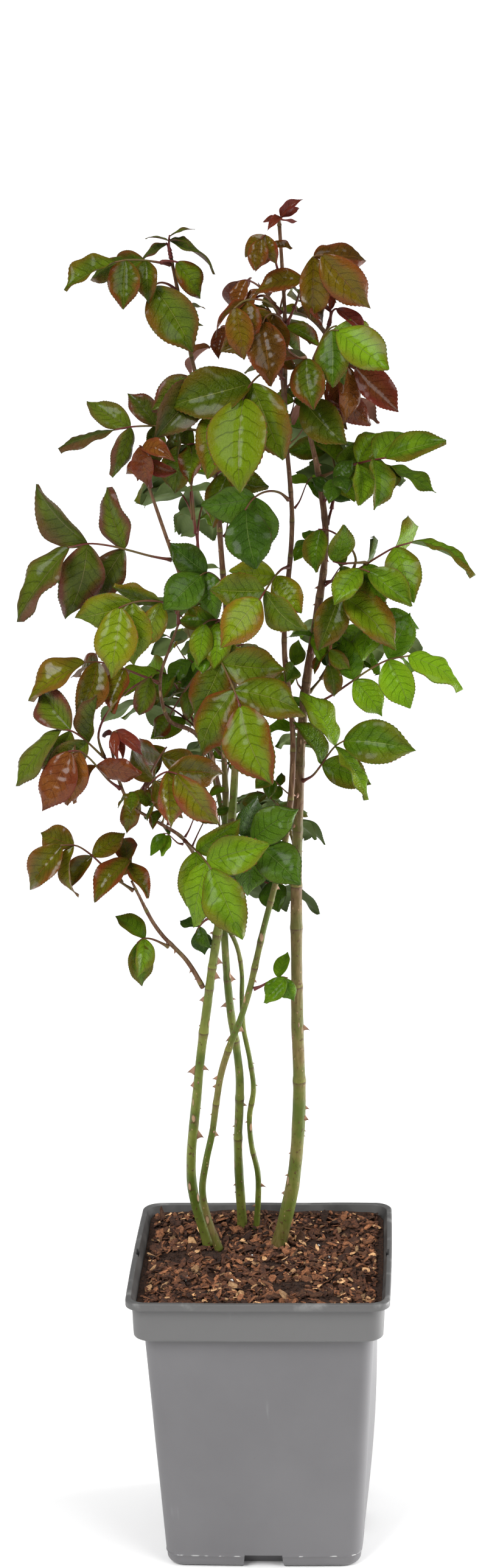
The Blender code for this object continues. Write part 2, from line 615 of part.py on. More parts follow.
def leaf_plan(start, way, tip, row):
    """The stalk of one compound leaf, and its blades as (root, direction, length, face)."""
    end_way = towards(*row["end"])
    stalk_end = tip - end_way * row["blade"]
    span = np.linalg.norm(stalk_end - start)
    lift = np.array((0, 0, row["arch"] * span))
    arrive = unit(unit(stalk_end - start) + 0.6 * end_way)
    stalk = bezier(start, start + way * 0.3 * span + lift,
                   stalk_end - arrive * 0.3 * span + lift / 2, stalk_end, STALK_POINTS)
    sunk = stalk_end - unit(stalk[-1] - stalk[-2]) * 0.0015
    blades = [(sunk, end_way, row["blade"], face_direction(stalk_end, row["end_faces"]))]
    angle = math.radians(PAIR_ANGLE)
    for share, size in zip(PAIR_PLACES[row["pairs"]], PAIR_SIZES):
        root, along = point_at(stalk, share)
        face = face_direction(root, row["faces"])
        sideways = unit(np.cross(along, face))
        for sign in (1, -1):
            direction = along * math.cos(angle) + sign * sideways * math.sin(angle)
            direction = unit(direction + np.array((0, 0, -row["droop"])))
            blades.append((root, direction, row["blade"] * size, face))
    return stalk, blades


def blade_solid(root, direction, length, face, first=0.0, room=0.0):
    """Vertices and faces of one blade: a keel under two edges, from a narrow root to a point.

    It can start at `first` along its length, and be made larger all round by `room`.
    """
    direction = unit(direction)
    normal = unit(across(face, direction))
    side = np.cross(normal, direction)
    stations = [(first, BLADE_WIDTHS[0] * first * 2), *zip(BLADE_STATIONS, BLADE_WIDTHS)]
    rows = []
    for station, width in stations:
        middle = root + direction * length * station - normal * length * BLADE_CURL * station**2
        half = width * length + BLADE_ROOT + room
        keel = BLADE_KEEL * length * min(1, width * 5) + BLADE_ROOT + room
        rows += [middle + side * half + normal * room, middle - side * half + normal * room,
                 middle - normal * keel]
    rows.append(root + direction * (length + room) - normal * length * BLADE_CURL)
    return np.array(rows), ring_faces(len(stations), 3, pointed=True)


class Room:
    """What is already built. A new piece fits if its mesh crosses none of it."""

    def __init__(self):
        self.trees = []

    def add(self, solid, owner=None, outer=None):
        """`outer` is the part of the piece that its own spray has to keep clear of."""
        tree = BVHTree.FromPolygons(solid[0].tolist(), solid[1])
        outer_tree = outer and BVHTree.FromPolygons(outer[0].tolist(), outer[1])
        self.trees.append((owner, tree, outer_tree))

    def fits(self, solid, owner=None, outer=None):
        tree = BVHTree.FromPolygons(solid[0].tolist(), solid[1])
        outer_tree = outer and BVHTree.FromPolygons(outer[0].tolist(), outer[1])
        for name, other, other_outer in self.trees:
            if name is None or name != owner:
                if tree.overlap(other):
                    return False
            elif outer_tree and outer_tree.overlap(other_outer or other):
                return False
        return True


def grown_leaf(row, number, dice):
    """A leaf dealt round the first one of a spray: left and right of it by turns."""
    side = (-1) ** number * ((number + 1) // 2) * FAN
    turn = row["turn"] + side + dice.uniform(-10, 10)
    rise = row["rise"] + dice.uniform(-22, 22)
    end = (row["end"][0] + side, row["end"][1] + dice.uniform(-15, 10))
    size = dice.uniform(0.82, 1.0)
    reach = row["reach"] * dice.uniform(0.62, 0.80)
    return dict(row, turn=turn, rise=rise, end=end, blade=row["blade"] * size, reach=reach)


def plan_sprays(limbs, room):
    """The stalks of every spray first, then the blades that find room, spray by spray."""
    plans = {}
    for name, row in SPRAYS.items():
        dice = random.Random(name)
        rows = list(row["leaves"])
        rows += [grown_leaf(rows[0], number, dice) for number in range(1, row["grown"] + 1)]
        limb, at = limbs[row["limb"]], row["at"]
        origin = point_on(limb, at)[0]
        leaves = []
        for number, shape in enumerate(rows):
            if number:
                start, way = point_at(leaves[0][0], 0.15 * number)
            else:
                tip = origin + towards(shape["turn"], shape["rise"]) * shape["reach"]
                stalk_end = tip - towards(*shape["end"]) * shape["blade"]
                start, way = seat(limb, at, stalk_end, STALK_RADIUS), leaving(limb, at, stalk_end)
            base = start if number else origin
            tip = base + towards(shape["turn"], shape["rise"]) * shape["reach"]
            stalk, blades = leaf_plan(start, way, tip, shape)
            if number == 0:
                stalk[0] = seat(limb, at, stalk[1], STALK_RADIUS)
            radii = np.linspace(STALK_RADIUS, STALK_TIP_RADIUS, len(stalk))
            room_round = CLEARANCE * np.minimum(1, np.arange(len(stalk)))
            if room.fits(tube(stalk, radii + room_round, TWIG_SIDES), name):
                room.add(tube(stalk, radii, TWIG_SIDES), name)
                leaves.append((stalk, radii, blades))
            elif number == 0:
                break
        plans[name] = (leaves, dice)
    return {name: [(stalk, radii, fitted_blades(room, name, blades, dice))
                   for stalk, radii, blades in leaves]
            for name, (leaves, dice) in plans.items()}


def fitted_blades(room, owner, blades, dice):
    """The blades that find room, each lifted or lowered a little where it must be."""
    solids = []
    for number, (root, direction, length, face) in enumerate(blades):
        direction = direction + np.array([dice.uniform(-0.08, 0.08) for axis in range(3)])
        roll = dice.gauss(0, ROLLS[min(number, 1)])
        side = np.cross(unit(direction), face)
        face = unit(face * math.cos(roll) + side * math.sin(roll))
        for lift in (0, 0.25, -0.25, 0.5, -0.5, 0.8):
            tried = unit(unit(direction) + face * lift)
            roomy = blade_solid(root, tried, length, face, room=CLEARANCE)
            outer = blade_solid(root, tried, length, face, first=BLADE_FREE)
            if room.fits(roomy, owner, outer):
                solids.append(blade_solid(root, tried, length, face))
                room.add(solids[-1], owner, outer)
                break
    return solids


def join_spray(name, leaves, tint):
    """One Boolean union of a spray's stalks and blades, applied, with loose scraps dropped."""
    pieces = []
    for stalk, radii, blades in leaves:
        pieces += [tube(stalk, radii, TWIG_SIDES), *blades]
    spray_object = make_object(name, *pieces[0], tint)
    group = bpy.data.collections.new(name + "_pieces")
    for piece in pieces[1:]:
        part = make_object("piece", *piece, tint)
        bpy.context.scene.collection.objects.unlink(part)
        group.objects.link(part)
    bpy.context.scene.collection.children.link(group)
    union = spray_object.modifiers.new("union", "BOOLEAN")
    union.operation = "UNION"
    union.solver = "EXACT"
    union.operand_type = "COLLECTION"
    union.collection = group
    depsgraph = bpy.context.evaluated_depsgraph_get()
    joined = bpy.data.meshes.new_from_object(spray_object.evaluated_get(depsgraph))
    spray_object.modifiers.clear()
    spray_object.data = joined
    for part in list(group.objects):
        bpy.data.objects.remove(part)
    bpy.data.collections.remove(group)
    keep_largest_shell(joined)


def keep_largest_shell(mesh):
    """Drops every shell but the largest: the loose scraps and the walls of sealed hollows."""
    shape = bmesh.new()
    shape.from_mesh(mesh)
    bmesh.ops.triangulate(shape, faces=shape.faces[:])
    left = set(shape.faces)
    shells = []
    while left:
        shell, edge = set(), [left.pop()]
        while edge:
            face = edge.pop()
            shell.add(face)
            near = {other for side in face.edges for other in side.link_faces if other in left}
            left -= near
            edge += near
        shells.append(shell)
    largest = max(shells, key=len)
    doomed = [face for face in shape.faces if face not in largest]
    bmesh.ops.delete(shape, geom=doomed, context="FACES")
    shape.to_mesh(mesh)
    shape.free()


def main():
    for obj in list(bpy.data.objects):
        bpy.data.objects.remove(obj)
    build_pot()
    build_mix()
    limbs = build_limbs()
    room = Room()
    for limb in limbs.values():
        room.add(limb["solid"])
    blades = 0
    for name, leaves in plan_sprays(limbs, room).items():
        if not leaves:
            continue
        join_spray(name, leaves, SPRAYS[name]["tint"])
        blades += sum(len(leaf[2]) for leaf in leaves)
    print(f"{len(SPRAYS)} sprays with {blades} blades")


main()
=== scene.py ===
import math
import random

import bpy
import numpy as np
from mathutils import Matrix
from mathutils.bvhtree import BVHTree


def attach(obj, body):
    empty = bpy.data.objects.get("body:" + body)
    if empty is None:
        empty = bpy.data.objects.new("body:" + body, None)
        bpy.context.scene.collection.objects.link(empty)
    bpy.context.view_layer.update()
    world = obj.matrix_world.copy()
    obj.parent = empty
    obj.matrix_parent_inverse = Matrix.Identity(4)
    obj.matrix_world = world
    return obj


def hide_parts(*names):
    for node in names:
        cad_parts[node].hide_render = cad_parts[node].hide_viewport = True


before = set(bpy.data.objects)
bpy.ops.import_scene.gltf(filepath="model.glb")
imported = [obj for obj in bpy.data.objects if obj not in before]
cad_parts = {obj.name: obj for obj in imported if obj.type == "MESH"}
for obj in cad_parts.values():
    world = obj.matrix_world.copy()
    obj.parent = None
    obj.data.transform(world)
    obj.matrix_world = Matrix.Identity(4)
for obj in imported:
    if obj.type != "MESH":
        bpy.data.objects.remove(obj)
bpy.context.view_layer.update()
print("frame loaded with", len(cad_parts), "nodes")

# Sizes of the rule by which the plant grows, in metres and degrees.
growth = {
    "gap": 0.0003,  # clearance between limbs that meet
    "mixTop": 0.243,  # height of the potting mix round the canes
    "ringStep": 0.030,
    "caneSides": 7,
    "shootSides": 5,
    "shootRings": 9,
    "twigSides": 3,
    "flare": 0.40,  # how much wider a cane is at the mix
    "flareLength": 0.012,
    "stalkRadius": 0.0011,
    "stalkTipRadius": 0.0007,
    "stalkPoints": 6,
    "bladeRoot": 0.00025,
    "bladeFree": 0.12,  # share of a blade that may touch its own spray
    "bladeStations": (0.32, 0.70),
    "bladeWidths": (0.28, 0.20),
    "bladeKeel": 0.032,
    "bladeCurl": 0.14,
    "rolls": (0.20, 0.50),  # how far end blades and paired blades roll about their midrib, as a rule
    "pairAngle": 64.0,  # between a stalk and the blades of a pair
    "pairPlaces": {0: (), 1: (0.72,), 2: (0.80, 0.46), 3: (0.82, 0.56, 0.30)},
    "pairSizes": (0.86, 0.72, 0.58),
    "clearance": 0.0005,
    "fan": 42.0,
    "crownAxis": (0.0, 0.03),
}

# Way points (x, y, z) of each cane, from its foot in the mix to its tip, then the radius at both.
canes = {
    "cane_left": (
        [(-0.049, 0.044, 0), (-0.061, 0.040, 0.293), (-0.055, 0.030, 0.387), (-0.041, 0.018, 0.490),
         (-0.020, 0.000, 0.623), (-0.013, -0.004, 0.718), (-0.021, -0.004, 0.856),
         (-0.029, 0.000, 0.965), (-0.041, 0.000, 1.019), (-0.056, -0.008, 1.105)],
        0.0042, 0.0012),
    "cane_middle": (
        [(-0.039, 0.032, 0), (-0.052, 0.028, 0.295), (-0.042, 0.020, 0.356), (-0.031, 0.010, 0.420),
         (-0.010, -0.002, 0.480), (0.005, -0.010, 0.542), (0.029, -0.012, 0.642),
         (0.034, -0.008, 0.714), (0.028, -0.002, 0.788), (0.036, 0.000, 0.894),
         (0.032, -0.002, 0.969), (0.033, -0.004, 1.057), (0.030, -0.006, 1.129)],
        0.0029, 0.0014),
    "cane_back": (
        [(-0.021, 0.078, 0), (-0.023, 0.070, 0.321), (-0.020, 0.062, 0.397), (-0.026, 0.054, 0.455),
         (-0.029, 0.034, 0.560), (-0.024, 0.018, 0.671), (-0.033, -0.002, 0.785),
         (-0.057, -0.018, 0.859), (-0.078, -0.030, 0.930)],
        0.0038, 0.0012),
    "cane_thin": (
        [(-0.009, 0.075, 0), (-0.006, 0.071, 0.295), (-0.013, 0.067, 0.344), (-0.008, 0.062, 0.381),
         (-0.016, 0.063, 0.439), (-0.017, 0.045, 0.509), (-0.036, 0.016, 0.566),
         (-0.058, -0.022, 0.632), (-0.101, -0.046, 0.672), (-0.111, -0.056, 0.718)],
        0.0024, 0.0011),
    "cane_main": (
        [(0.012, 0.040, 0), (0.025, 0.038, 0.299), (0.032, 0.035, 0.368), (0.032, 0.030, 0.463),
         (0.035, 0.022, 0.617), (0.046, 0.012, 0.760), (0.054, 0.008, 0.807), (0.063, 0.002, 0.879),
         (0.055, 0.000, 0.946), (0.047, -0.006, 0.994), (0.068, -0.014, 1.051)],
        0.0057, 0.0013),
}

# Side shoots: the cane, how far along it, way points after the start, radius at foot and tip.
shoots = {
    "shoot_left": (
        "cane_back", 0.60,
        [(-0.042, 0.004, 0.712), (-0.066, -0.014, 0.729), (-0.073, -0.022, 0.757),
         (-0.056, -0.030, 0.814)],
        0.0020, 0.0009),
    "shoot_low_left": (
        "cane_left", 0.285,
        [(-0.056, 0.012, 0.509), (-0.082, -0.006, 0.548), (-0.101, -0.022, 0.595)],
        0.0021, 0.0010),
    "shoot_back": (
        "cane_back", 0.56,
        [(-0.040, 0.070, 0.680), (-0.050, 0.095, 0.740), (-0.048, 0.110, 0.830)],
        0.0022, 0.0010),
}


def leafRow(turn, rise, reach, endTurn, endRise, blade, pairs=2, droop=0.4, faces=0.6, arch=0.1,
            endFaces=None):
    # A compound leaf. Its tip lies `reach` from where it starts, `turn` degrees round from +X and
    # `rise` up. The end blade heads `endTurn` round and `endRise` up. `droop` bends the paired
    # blades down, `faces` turns blades outwards instead of up, `endFaces` the end blade where it
    # differs, and `arch` lifts the stalk.
    return dict(turn=turn, rise=rise, reach=reach, end=(endTurn, endRise), blade=blade,
                pairs=pairs, droop=droop, faces=faces, arch=arch,
                endFaces=faces if endFaces is None else endFaces)


def sprayRow(limb, at, tint, *leaves, grown=0):
    # A spray leaves `limb` at the share `at` of its length with its first leaf. The others branch
    # from that leaf's stalk, and `grown` more are dealt round it by seed.
    return dict(limb=limb, at=at, tint=tint, leaves=leaves, grown=grown)


sprays = {
    "spray_crown_tip": sprayRow(
        "cane_middle", 1.0, "red", leafRow(-46, 51, 0.031, -31, 49, 0.021, 2, 0.1, 0.5)),
    "spray_top_left": sprayRow(
        "cane_middle", 0.95, "bronze", leafRow(-116, 19, 0.053, -114, -57, 0.027, 2, 0.8, 0.6, 0.5)),
    "spray_high_left": sprayRow(
        "cane_left", 1.0, "plum", leafRow(-36, 57, 0.037, -24, 34, 0.022, 1, 0.2, 0.5, 0.0),
        leafRow(-2, 2, 0.041, -1, -15, 0.042, 0, 0.2, 0.1, 0.0),
        leafRow(163, -8, 0.031, 167, -21, 0.029, 0, 0.2, 0.5, 0.0)),
    "spray_far_high_left": sprayRow(
        "cane_left", 0.995, "flushed", leafRow(-153, -6, 0.095, -159, -19, 0.046, 2, 0.7, 0.5),
        leafRow(2, -37, 0.044, 2, -50, 0.035, 0, 0.3, 0.5)),
    "spray_high_left_hanging": sprayRow(
        "cane_left", 0.972, "flushed", leafRow(-83, -40, 0.065, -51, -51, 0.059, 0, 0.3, 0.8, 0.3)),
    "spray_left_shoulder": sprayRow(
        "cane_left", 0.842, "plum", leafRow(-157, -1, 0.129, -162, -12, 0.049, 3, 0.35, 0.8, 0.1, 0.0)),
    "spray_left_drooping": sprayRow(
        "cane_left", 0.872, "plum", leafRow(-117, -9, 0.068, -131, -28, 0.054, 1, 0.5, 0.6, 0.3)),
    "spray_hung_left": sprayRow(
        "cane_back", 0.995, "copper", leafRow(-93, 12, 0.031, -74, -69, 0.032, 2, 1, 0.8, 0.3)),
    "spray_left_dark": sprayRow(
        "cane_left", 0.82, "flushed", leafRow(-137, -16, 0.060, -138, -43, 0.042, 1, 0.3, 0.6, 0.2)),
    "spray_high_right": sprayRow(
        "cane_middle", 0.917, "bronze", leafRow(-35, 12, 0.082, -26, -47, 0.055, 2, 0.8, 0.7, 0.3),
        leafRow(30, -28, 0.041, 21, -26, 0.035, 0, 0.3, 0.5, 0.2)),
    "spray_puckered": sprayRow(
        "cane_middle", 0.917, "bronze", leafRow(-100, -20, 0.082, -86, -41, 0.051, 2, 1, 0.8, 0.3),
        leafRow(-115, -16, 0.069, -74, -56, 0.040, 1, 1, 0.8, 0.2)),
    "spray_left_red": sprayRow(
        "cane_middle", 0.925, "copper", leafRow(156, -3, 0.058, 155, -58, 0.032, 2, 0.8, 0.5, 0.3),
        leafRow(153, -30, 0.105, 159, -27, 0.031, 1, 0.4, 0.5)),
    "spray_right_bud": sprayRow(
        "cane_main", 1.0, "red", leafRow(-54, 75, 0.030, -44, 76, 0.015, 1, 0.0, 0.5, 0.0),
        leafRow(-27, -6, 0.035, -20, -31, 0.030, 0, 0.3, 0.6, 0.3)),
    "spray_right_front": sprayRow(
        "cane_main", 0.967, "green", leafRow(-40, -2, 0.078, -30, -31, 0.054, 2, 0.8, 0.6, 0.3),
        leafRow(-18, -8, 0.058, -7, -38, 0.050, 0, 0.2, 0.0)),
    "spray_right_drooping": sprayRow(
        "cane_main", 0.932, "copper", leafRow(-17, -9, 0.082, -15, -44, 0.050, 2, 0.8, 0.6, 0.2),
        leafRow(43, -25, 0.079, 29, -24, 0.053, 1, 0.3, 0.3, 0.2)),
    "spray_right_inner": sprayRow(
        "cane_main", 0.912, "flushed", leafRow(-54, -14, 0.059, -39, -30, 0.052, 0, 0.4, 0.6, 0.2),
        leafRow(-84, 9, 0.051, -82, -62, 0.043, 0, 0.4, 0.8, 0.3)),
    "spray_centre_big": sprayRow(
        "cane_middle", 0.87, "flushed", leafRow(-109, -34, 0.124, -92, -52, 0.076, 1, 0.45, 0.85, 0.3)),
    "spray_right_middle": sprayRow(
        "cane_main", 0.847, "green", leafRow(-22, 19, 0.115, -17, 20, 0.051, 3, 0.2, 0.6, 0.1, 0.4)),
    "spray_far_left": sprayRow(
        "cane_back", 0.907, "plum", leafRow(-159, -13, 0.145, -160, -43, 0.072, 2, 0.35, 0.9, 0.1, 0.35)),
    "spray_left_lime": sprayRow(
        "shoot_left", 1.0, "lime", leafRow(-131, -20, 0.084, -107, -64, 0.056, 2, 0.8, 0.8),
        leafRow(-10, 30, 0.029, -13, 36, 0.013, 1, 0.2, 0.5, 0.0)),
    "spray_left_small": sprayRow(
        "shoot_left", 0.707, "olive", leafRow(-171, -1, 0.113, -174, -24, 0.055, 2, 0.8, 0.5)),
    "spray_centre_left": sprayRow(
        "cane_left", 0.704, "dark", leafRow(-129, -5, 0.072, -134, -25, 0.044, 1, 0.1, 0.7, 0.3)),
    "spray_centre_upper": sprayRow(
        "cane_left", 0.805, "flushed", leafRow(-96, -53, 0.048, -126, -59, 0.043, 1, 0.6, 0.7, 0.2),
        leafRow(-100, 15, 0.071, -122, -41, 0.060, 0, 0.4, 0.8)),
    "spray_centre_round": sprayRow(
        "cane_middle", 0.764, "dark", leafRow(-112, -29, 0.086, -77, -53, 0.051, 1, 0.7, 0.9, 0.3)),
    "spray_centre_pair": sprayRow(
        "cane_middle", 0.704, "lime", leafRow(-118, -22, 0.110, -124, -29, 0.052, 2, 0.15, 0.8)),
    "spray_centre_inner": sprayRow(
        "cane_left", 0.667, "green", leafRow(-104, -27, 0.053, -95, -48, 0.039, 1, 0.6, 0.7),
        leafRow(-122, -32, 0.049, -113, -64, 0.034, 0, 0.4, 0.8)),
    "spray_front_centre": sprayRow(
        "cane_back", 0.802, "flushed", leafRow(-64, -38, 0.149, -62, -49, 0.069, 2, 0.3, 0.85),
        leafRow(165, -57, 0.097, 158, -53, 0.027, 1, 0.5)),
    "spray_far_right": sprayRow(
        "cane_main", 0.744, "green", leafRow(-15, 12, 0.136, -10, -9, 0.056, 2, 0.5, 0.5, 0.05, 0.0),
        leafRow(-42, -5, 0.082, -23, -28, 0.044, 1, 0.5, 0.5),
        leafRow(-135, 10, 0.045, -108, -63, 0.035, 0, 0.4, 0.8, 0.2),
        leafRow(-116, 50, 0.048, -49, 59, 0.036, 0, 0.2, 0.8, 0.0)),
    "spray_right_under": sprayRow(
        "cane_main", 0.719, "flushed", leafRow(-46, -5, 0.090, -39, -24, 0.056, 2, 0.7, 0.5, 0.2),
        leafRow(-76, -72, 0.076, -80, -68, 0.026, 2, 0.3, 0.8)),
    "spray_right_lower": sprayRow(
        "cane_main", 0.617, "bright", leafRow(-26, 16, 0.154, -20, -12, 0.050, 2, 0.3, 0.75, 0.1, 0.1)),
    "spray_right_low": sprayRow(
        "cane_main", 0.541, "green", leafRow(-37, 21, 0.122, -28, 0, 0.059, 2, 0.15, 0.8, 0.05)),
    "spray_red_sprout": sprayRow(
        "cane_thin", 1.0, "red", leafRow(-26, 3, 0.032, -20, -28, 0.028, 2, 0.8, 0.6, 0.4)),
    "spray_low_far_left": sprayRow(
        "cane_thin", 0.975, "plum", leafRow(-170, -1, 0.092, -172, -34, 0.058, 2, 0.3, 0.7, 0.2, 0.5),
        leafRow(-11, 51, 0.048, -137, -63, 0.032, 0, 0.3, 0.8, 0.2)),
    "spray_glossy_left": sprayRow(
        "cane_thin", 0.935, "copper", leafRow(-141, -3, 0.082, -141, -54, 0.053, 2, 0.9, 0.8, 0.2)),
    "spray_big_bronze": sprayRow(
        "cane_thin", 0.902, "olive", leafRow(-39, -2, 0.089, -39, -46, 0.052, 2, 0.8, 0.8, 0.2),
        leafRow(93, 3, 0.049, 134, -43, 0.046, 1, 0.5, 0.6, 0.2),
        leafRow(135, -53, 0.056, -141, -60, 0.032, 0, 0.4, 0.8)),
    "spray_low_centre": sprayRow(
        "cane_thin", 0.794, "green", leafRow(-55, -37, 0.105, -55, -50, 0.063, 2, 0.15, 0.9, 0.05)),
    "spray_centre_low": sprayRow(
        "cane_left", 0.466, "dark", leafRow(-44, -14, 0.088, -36, -26, 0.052, 2, 0.2, 0.9)),
    "spray_low_left": sprayRow(
        "shoot_low_left", 0.925, "olive", leafRow(-161, 7, 0.095, -163, -47, 0.046, 3, 0.7, 0.7, 0.2),
        leafRow(-131, -60, 0.020, -167, -68, 0.042, 1, 0.5, 0.6, 0.2)),
    "spray_low_twig": sprayRow(
        "shoot_low_left", 0.421, "green", leafRow(-122, -36, 0.046, -63, -66, 0.037, 1, 0.2, 0.7, 0.3)),
    "spray_low_inner": sprayRow(
        "cane_left", 0.381, "dark", leafRow(175, -70, 0.038, 3, -72, 0.024, 1, 0.0, 0.7)),
    "spray_low_right": sprayRow(
        "cane_middle", 0.313, "bright", leafRow(-21, -37, 0.020, -173, -52, 0.028, 1, 0.2, 0.7)),
    "spray_back_low": sprayRow(
        "cane_thin", 0.6, "dark", leafRow(80, 8, 0.105, 80, -25, 0.044, 2, 0.4, 0.5, 0.2), grown=3),
    "spray_back_left": sprayRow(
        "cane_back", 0.66, "green", leafRow(155, 10, 0.125, 160, -20, 0.048, 2, 0.4, 0.5, 0.2), grown=3),
    "spray_back_left_high": sprayRow(
        "shoot_back", 1.0, "green", leafRow(125, 30, 0.100, 130, -15, 0.048, 2, 0.4, 0.5, 0.2), grown=3),
    "spray_back_centre": sprayRow(
        "shoot_back", 0.5, "lime", leafRow(55, 0, 0.095, 55, -30, 0.044, 2, 0.4, 0.5, 0.2), grown=2),
    "spray_back_right": sprayRow(
        "cane_main", 0.63, "bright", leafRow(40, 10, 0.130, 45, -20, 0.050, 2, 0.4, 0.5, 0.2), grown=3),
    "spray_back_right_low": sprayRow(
        "cane_main", 0.47, "green", leafRow(118, 5, 0.105, 122, -25, 0.046, 2, 0.4, 0.5, 0.2), grown=2),
    "spray_back_right_high": sprayRow(
        "cane_main", 0.8, "green", leafRow(70, 20, 0.115, 70, -20, 0.048, 2, 0.4, 0.5, 0.2), grown=3),
    "spray_back_top": sprayRow(
        "cane_middle", 0.84, "flushed", leafRow(100, 25, 0.110, 100, -20, 0.042, 2, 0.5, 0.5, 0.2),
        grown=3),
}


def unit(v):
    # v over its own length
    return v / np.maximum(np.linalg.norm(v, axis=-1, keepdims=True), 1e-9)


def across(v, axis):
    # the part of v at right angles to the unit vector axis
    return v - np.sum(v * axis, axis=-1, keepdims=True) * axis


def smoothPath(points, count):
    # a cubic curve through the points, read at even steps of its chord length
    points = np.array(points, float)
    knots = np.r_[0, np.cumsum(np.linalg.norm(np.diff(points, axis=0), axis=1))]
    slopes = np.gradient(points, knots, axis=0)
    t = np.linspace(0, knots[-1], count)
    k = np.clip(np.searchsorted(knots, t, side="right") - 1, 0, len(points) - 2)
    span = (knots[k + 1] - knots[k])[:, None]
    u = (t - knots[k])[:, None] / span
    return ((2 * u**3 - 3 * u**2 + 1) * points[k] + (u**3 - 2 * u**2 + u) * span * slopes[k]
            + (3 * u**2 - 2 * u**3) * points[k + 1] + (u**3 - u**2) * span * slopes[k + 1])


def coarseTube(path, radii, sides, flatFoot=False):
    # the tube that the solids have round a path, against which the rule measures room
    tangents = unit(np.gradient(path, axis=0))
    if flatFoot:
        tangents[0] = (0, 0, 1)
    angles = np.arange(sides) * 2 * math.pi / sides
    normal = unit(across(np.array((0.9, 0.1, 0.3)), tangents[0]))
    rings = []
    for centre, tangent, radius in zip(path, tangents, radii):
        normal = unit(across(normal, tangent))
        side = np.cross(tangent, normal)
        rings.append(centre + radius * (np.cos(angles)[:, None] * normal
                                        + np.sin(angles)[:, None] * side))
    return np.vstack(rings), ringFaces(len(rings), sides)


def ringFaces(rings, sides, pointed=False):
    # a cap, the walls between rings, and at the far end a cap or a point
    faces = [tuple(reversed(range(sides)))]
    for r in range(rings - 1):
        for s in range(sides):
            a, b = r * sides + s, r * sides + (s + 1) % sides
            faces.append((a, b, b + sides, a + sides))
    last = (rings - 1) * sides
    if pointed:
        faces += [(last + s, last + (s + 1) % sides, last + sides) for s in range(sides)]
    else:
        faces.append(tuple(range(last, last + sides)))
    return faces


def limbRadius(limb, share):
    # thick for long, then tapering to the tip, with a flare at the mix
    foot, tip = limb["radii"]
    radius = tip + (foot - tip) * (1 - share**1.5)
    if limb["rooted"]:
        radius = radius * (1 + growth["flare"] * np.exp(-share * limb["length"] / growth["flareLength"]))
    return radius


def makeLimb(path, radii, rooted):
    length = np.linalg.norm(np.diff(path, axis=0), axis=1).sum()
    return dict(path=path, radii=radii, rooted=rooted, length=length)


def pointAt(path, share):
    # a place on a path and the way it runs there
    place = share * (len(path) - 1)
    k = min(int(place), len(path) - 2)
    step = path[k + 1] - path[k]
    return path[k] + (place - k) * step, unit(step)


def pointOn(limb, share):
    # a place on a limb, the way it runs there and its radius
    return *pointAt(limb["path"], share), float(limbRadius(limb, share))


def seat(limb, share, target, radius):
    # where a branch that makes for the target starts, a gap clear of its limb
    point, axis, limbR = pointOn(limb, share)
    if share >= 1:
        return point + axis * growth["gap"]
    out = unit(across(target - point, axis))
    way = unit(target - point - out * limbR)
    tilt = math.sqrt(max(0.0, 1 - np.dot(way, out) ** 2))
    return point + out * (limbR + growth["gap"] + radius * tilt)


def leaving(limb, share, target):
    # the way a branch leaves its limb, between straight out and straight to the target
    point, axis = pointOn(limb, share)[:2]
    if share >= 1:
        return axis
    return unit(unit(across(target - point, axis)) + 0.5 * unit(target - point))


def growLimbs():
    # canes from the mix first, then the shoots from their canes
    limbs = {}
    for name, (points, foot, tip) in canes.items():
        points = [(x, y, z or growth["mixTop"] + growth["gap"]) for x, y, z in points]
        chords = np.linalg.norm(np.diff(points, axis=0), axis=1).sum()
        path = smoothPath(points, 2 + round(chords / growth["ringStep"]))
        limbs[name] = makeLimb(path, (foot, tip), True)
    for name, (cane, at, points, foot, tip) in shoots.items():
        start = seat(limbs[cane], at, np.array(points[0]), foot)
        path = smoothPath([start, *points], growth["shootRings"])
        path[0] = seat(limbs[cane], at, path[1], foot)
        limbs[name] = makeLimb(path, (foot, tip), False)
    for limb in limbs.values():
        shares = np.linspace(0, 1, len(limb["path"]))
        if limb["rooted"]:
            foot = limb["path"][0] + (limb["path"][1] - limb["path"][0]) * 0.4
            limb["path"] = np.vstack((limb["path"][:1], foot, limb["path"][1:]))
            shares = np.r_[0, shares[1] * 0.4, shares[1:]]
        limb["shares"] = shares
        sides = growth["caneSides"] if limb["rooted"] else growth["shootSides"]
        limb["solid"] = coarseTube(limb["path"], limbRadius(limb, shares), sides, limb["rooted"])
    return limbs


def bezier(a, b, c, d, count):
    # a cubic curve from a to d that leaves towards b and arrives from c
    t = np.linspace(0, 1, count)[:, None]
    return (1 - t) ** 3 * a + 3 * (1 - t) ** 2 * t * b + 3 * (1 - t) * t**2 * c + t**3 * d


def towards(turn, rise):
    # a unit way, `turn` degrees round from +X and `rise` up
    turn, rise = math.radians(turn), math.radians(rise)
    return np.array((math.cos(turn) * math.cos(rise), math.sin(turn) * math.cos(rise),
                     math.sin(rise)))


def faceDirection(point, faces):
    # blades turn their upper sides up, and out from the crown
    axis = growth["crownAxis"]
    out = np.array((1.6 * (point[0] - axis[0]), 0.7 * math.tanh((point[1] - axis[1]) / 0.02), 0))
    return unit(faces * out + (1 - faces) * np.array((0, 0, 1)))


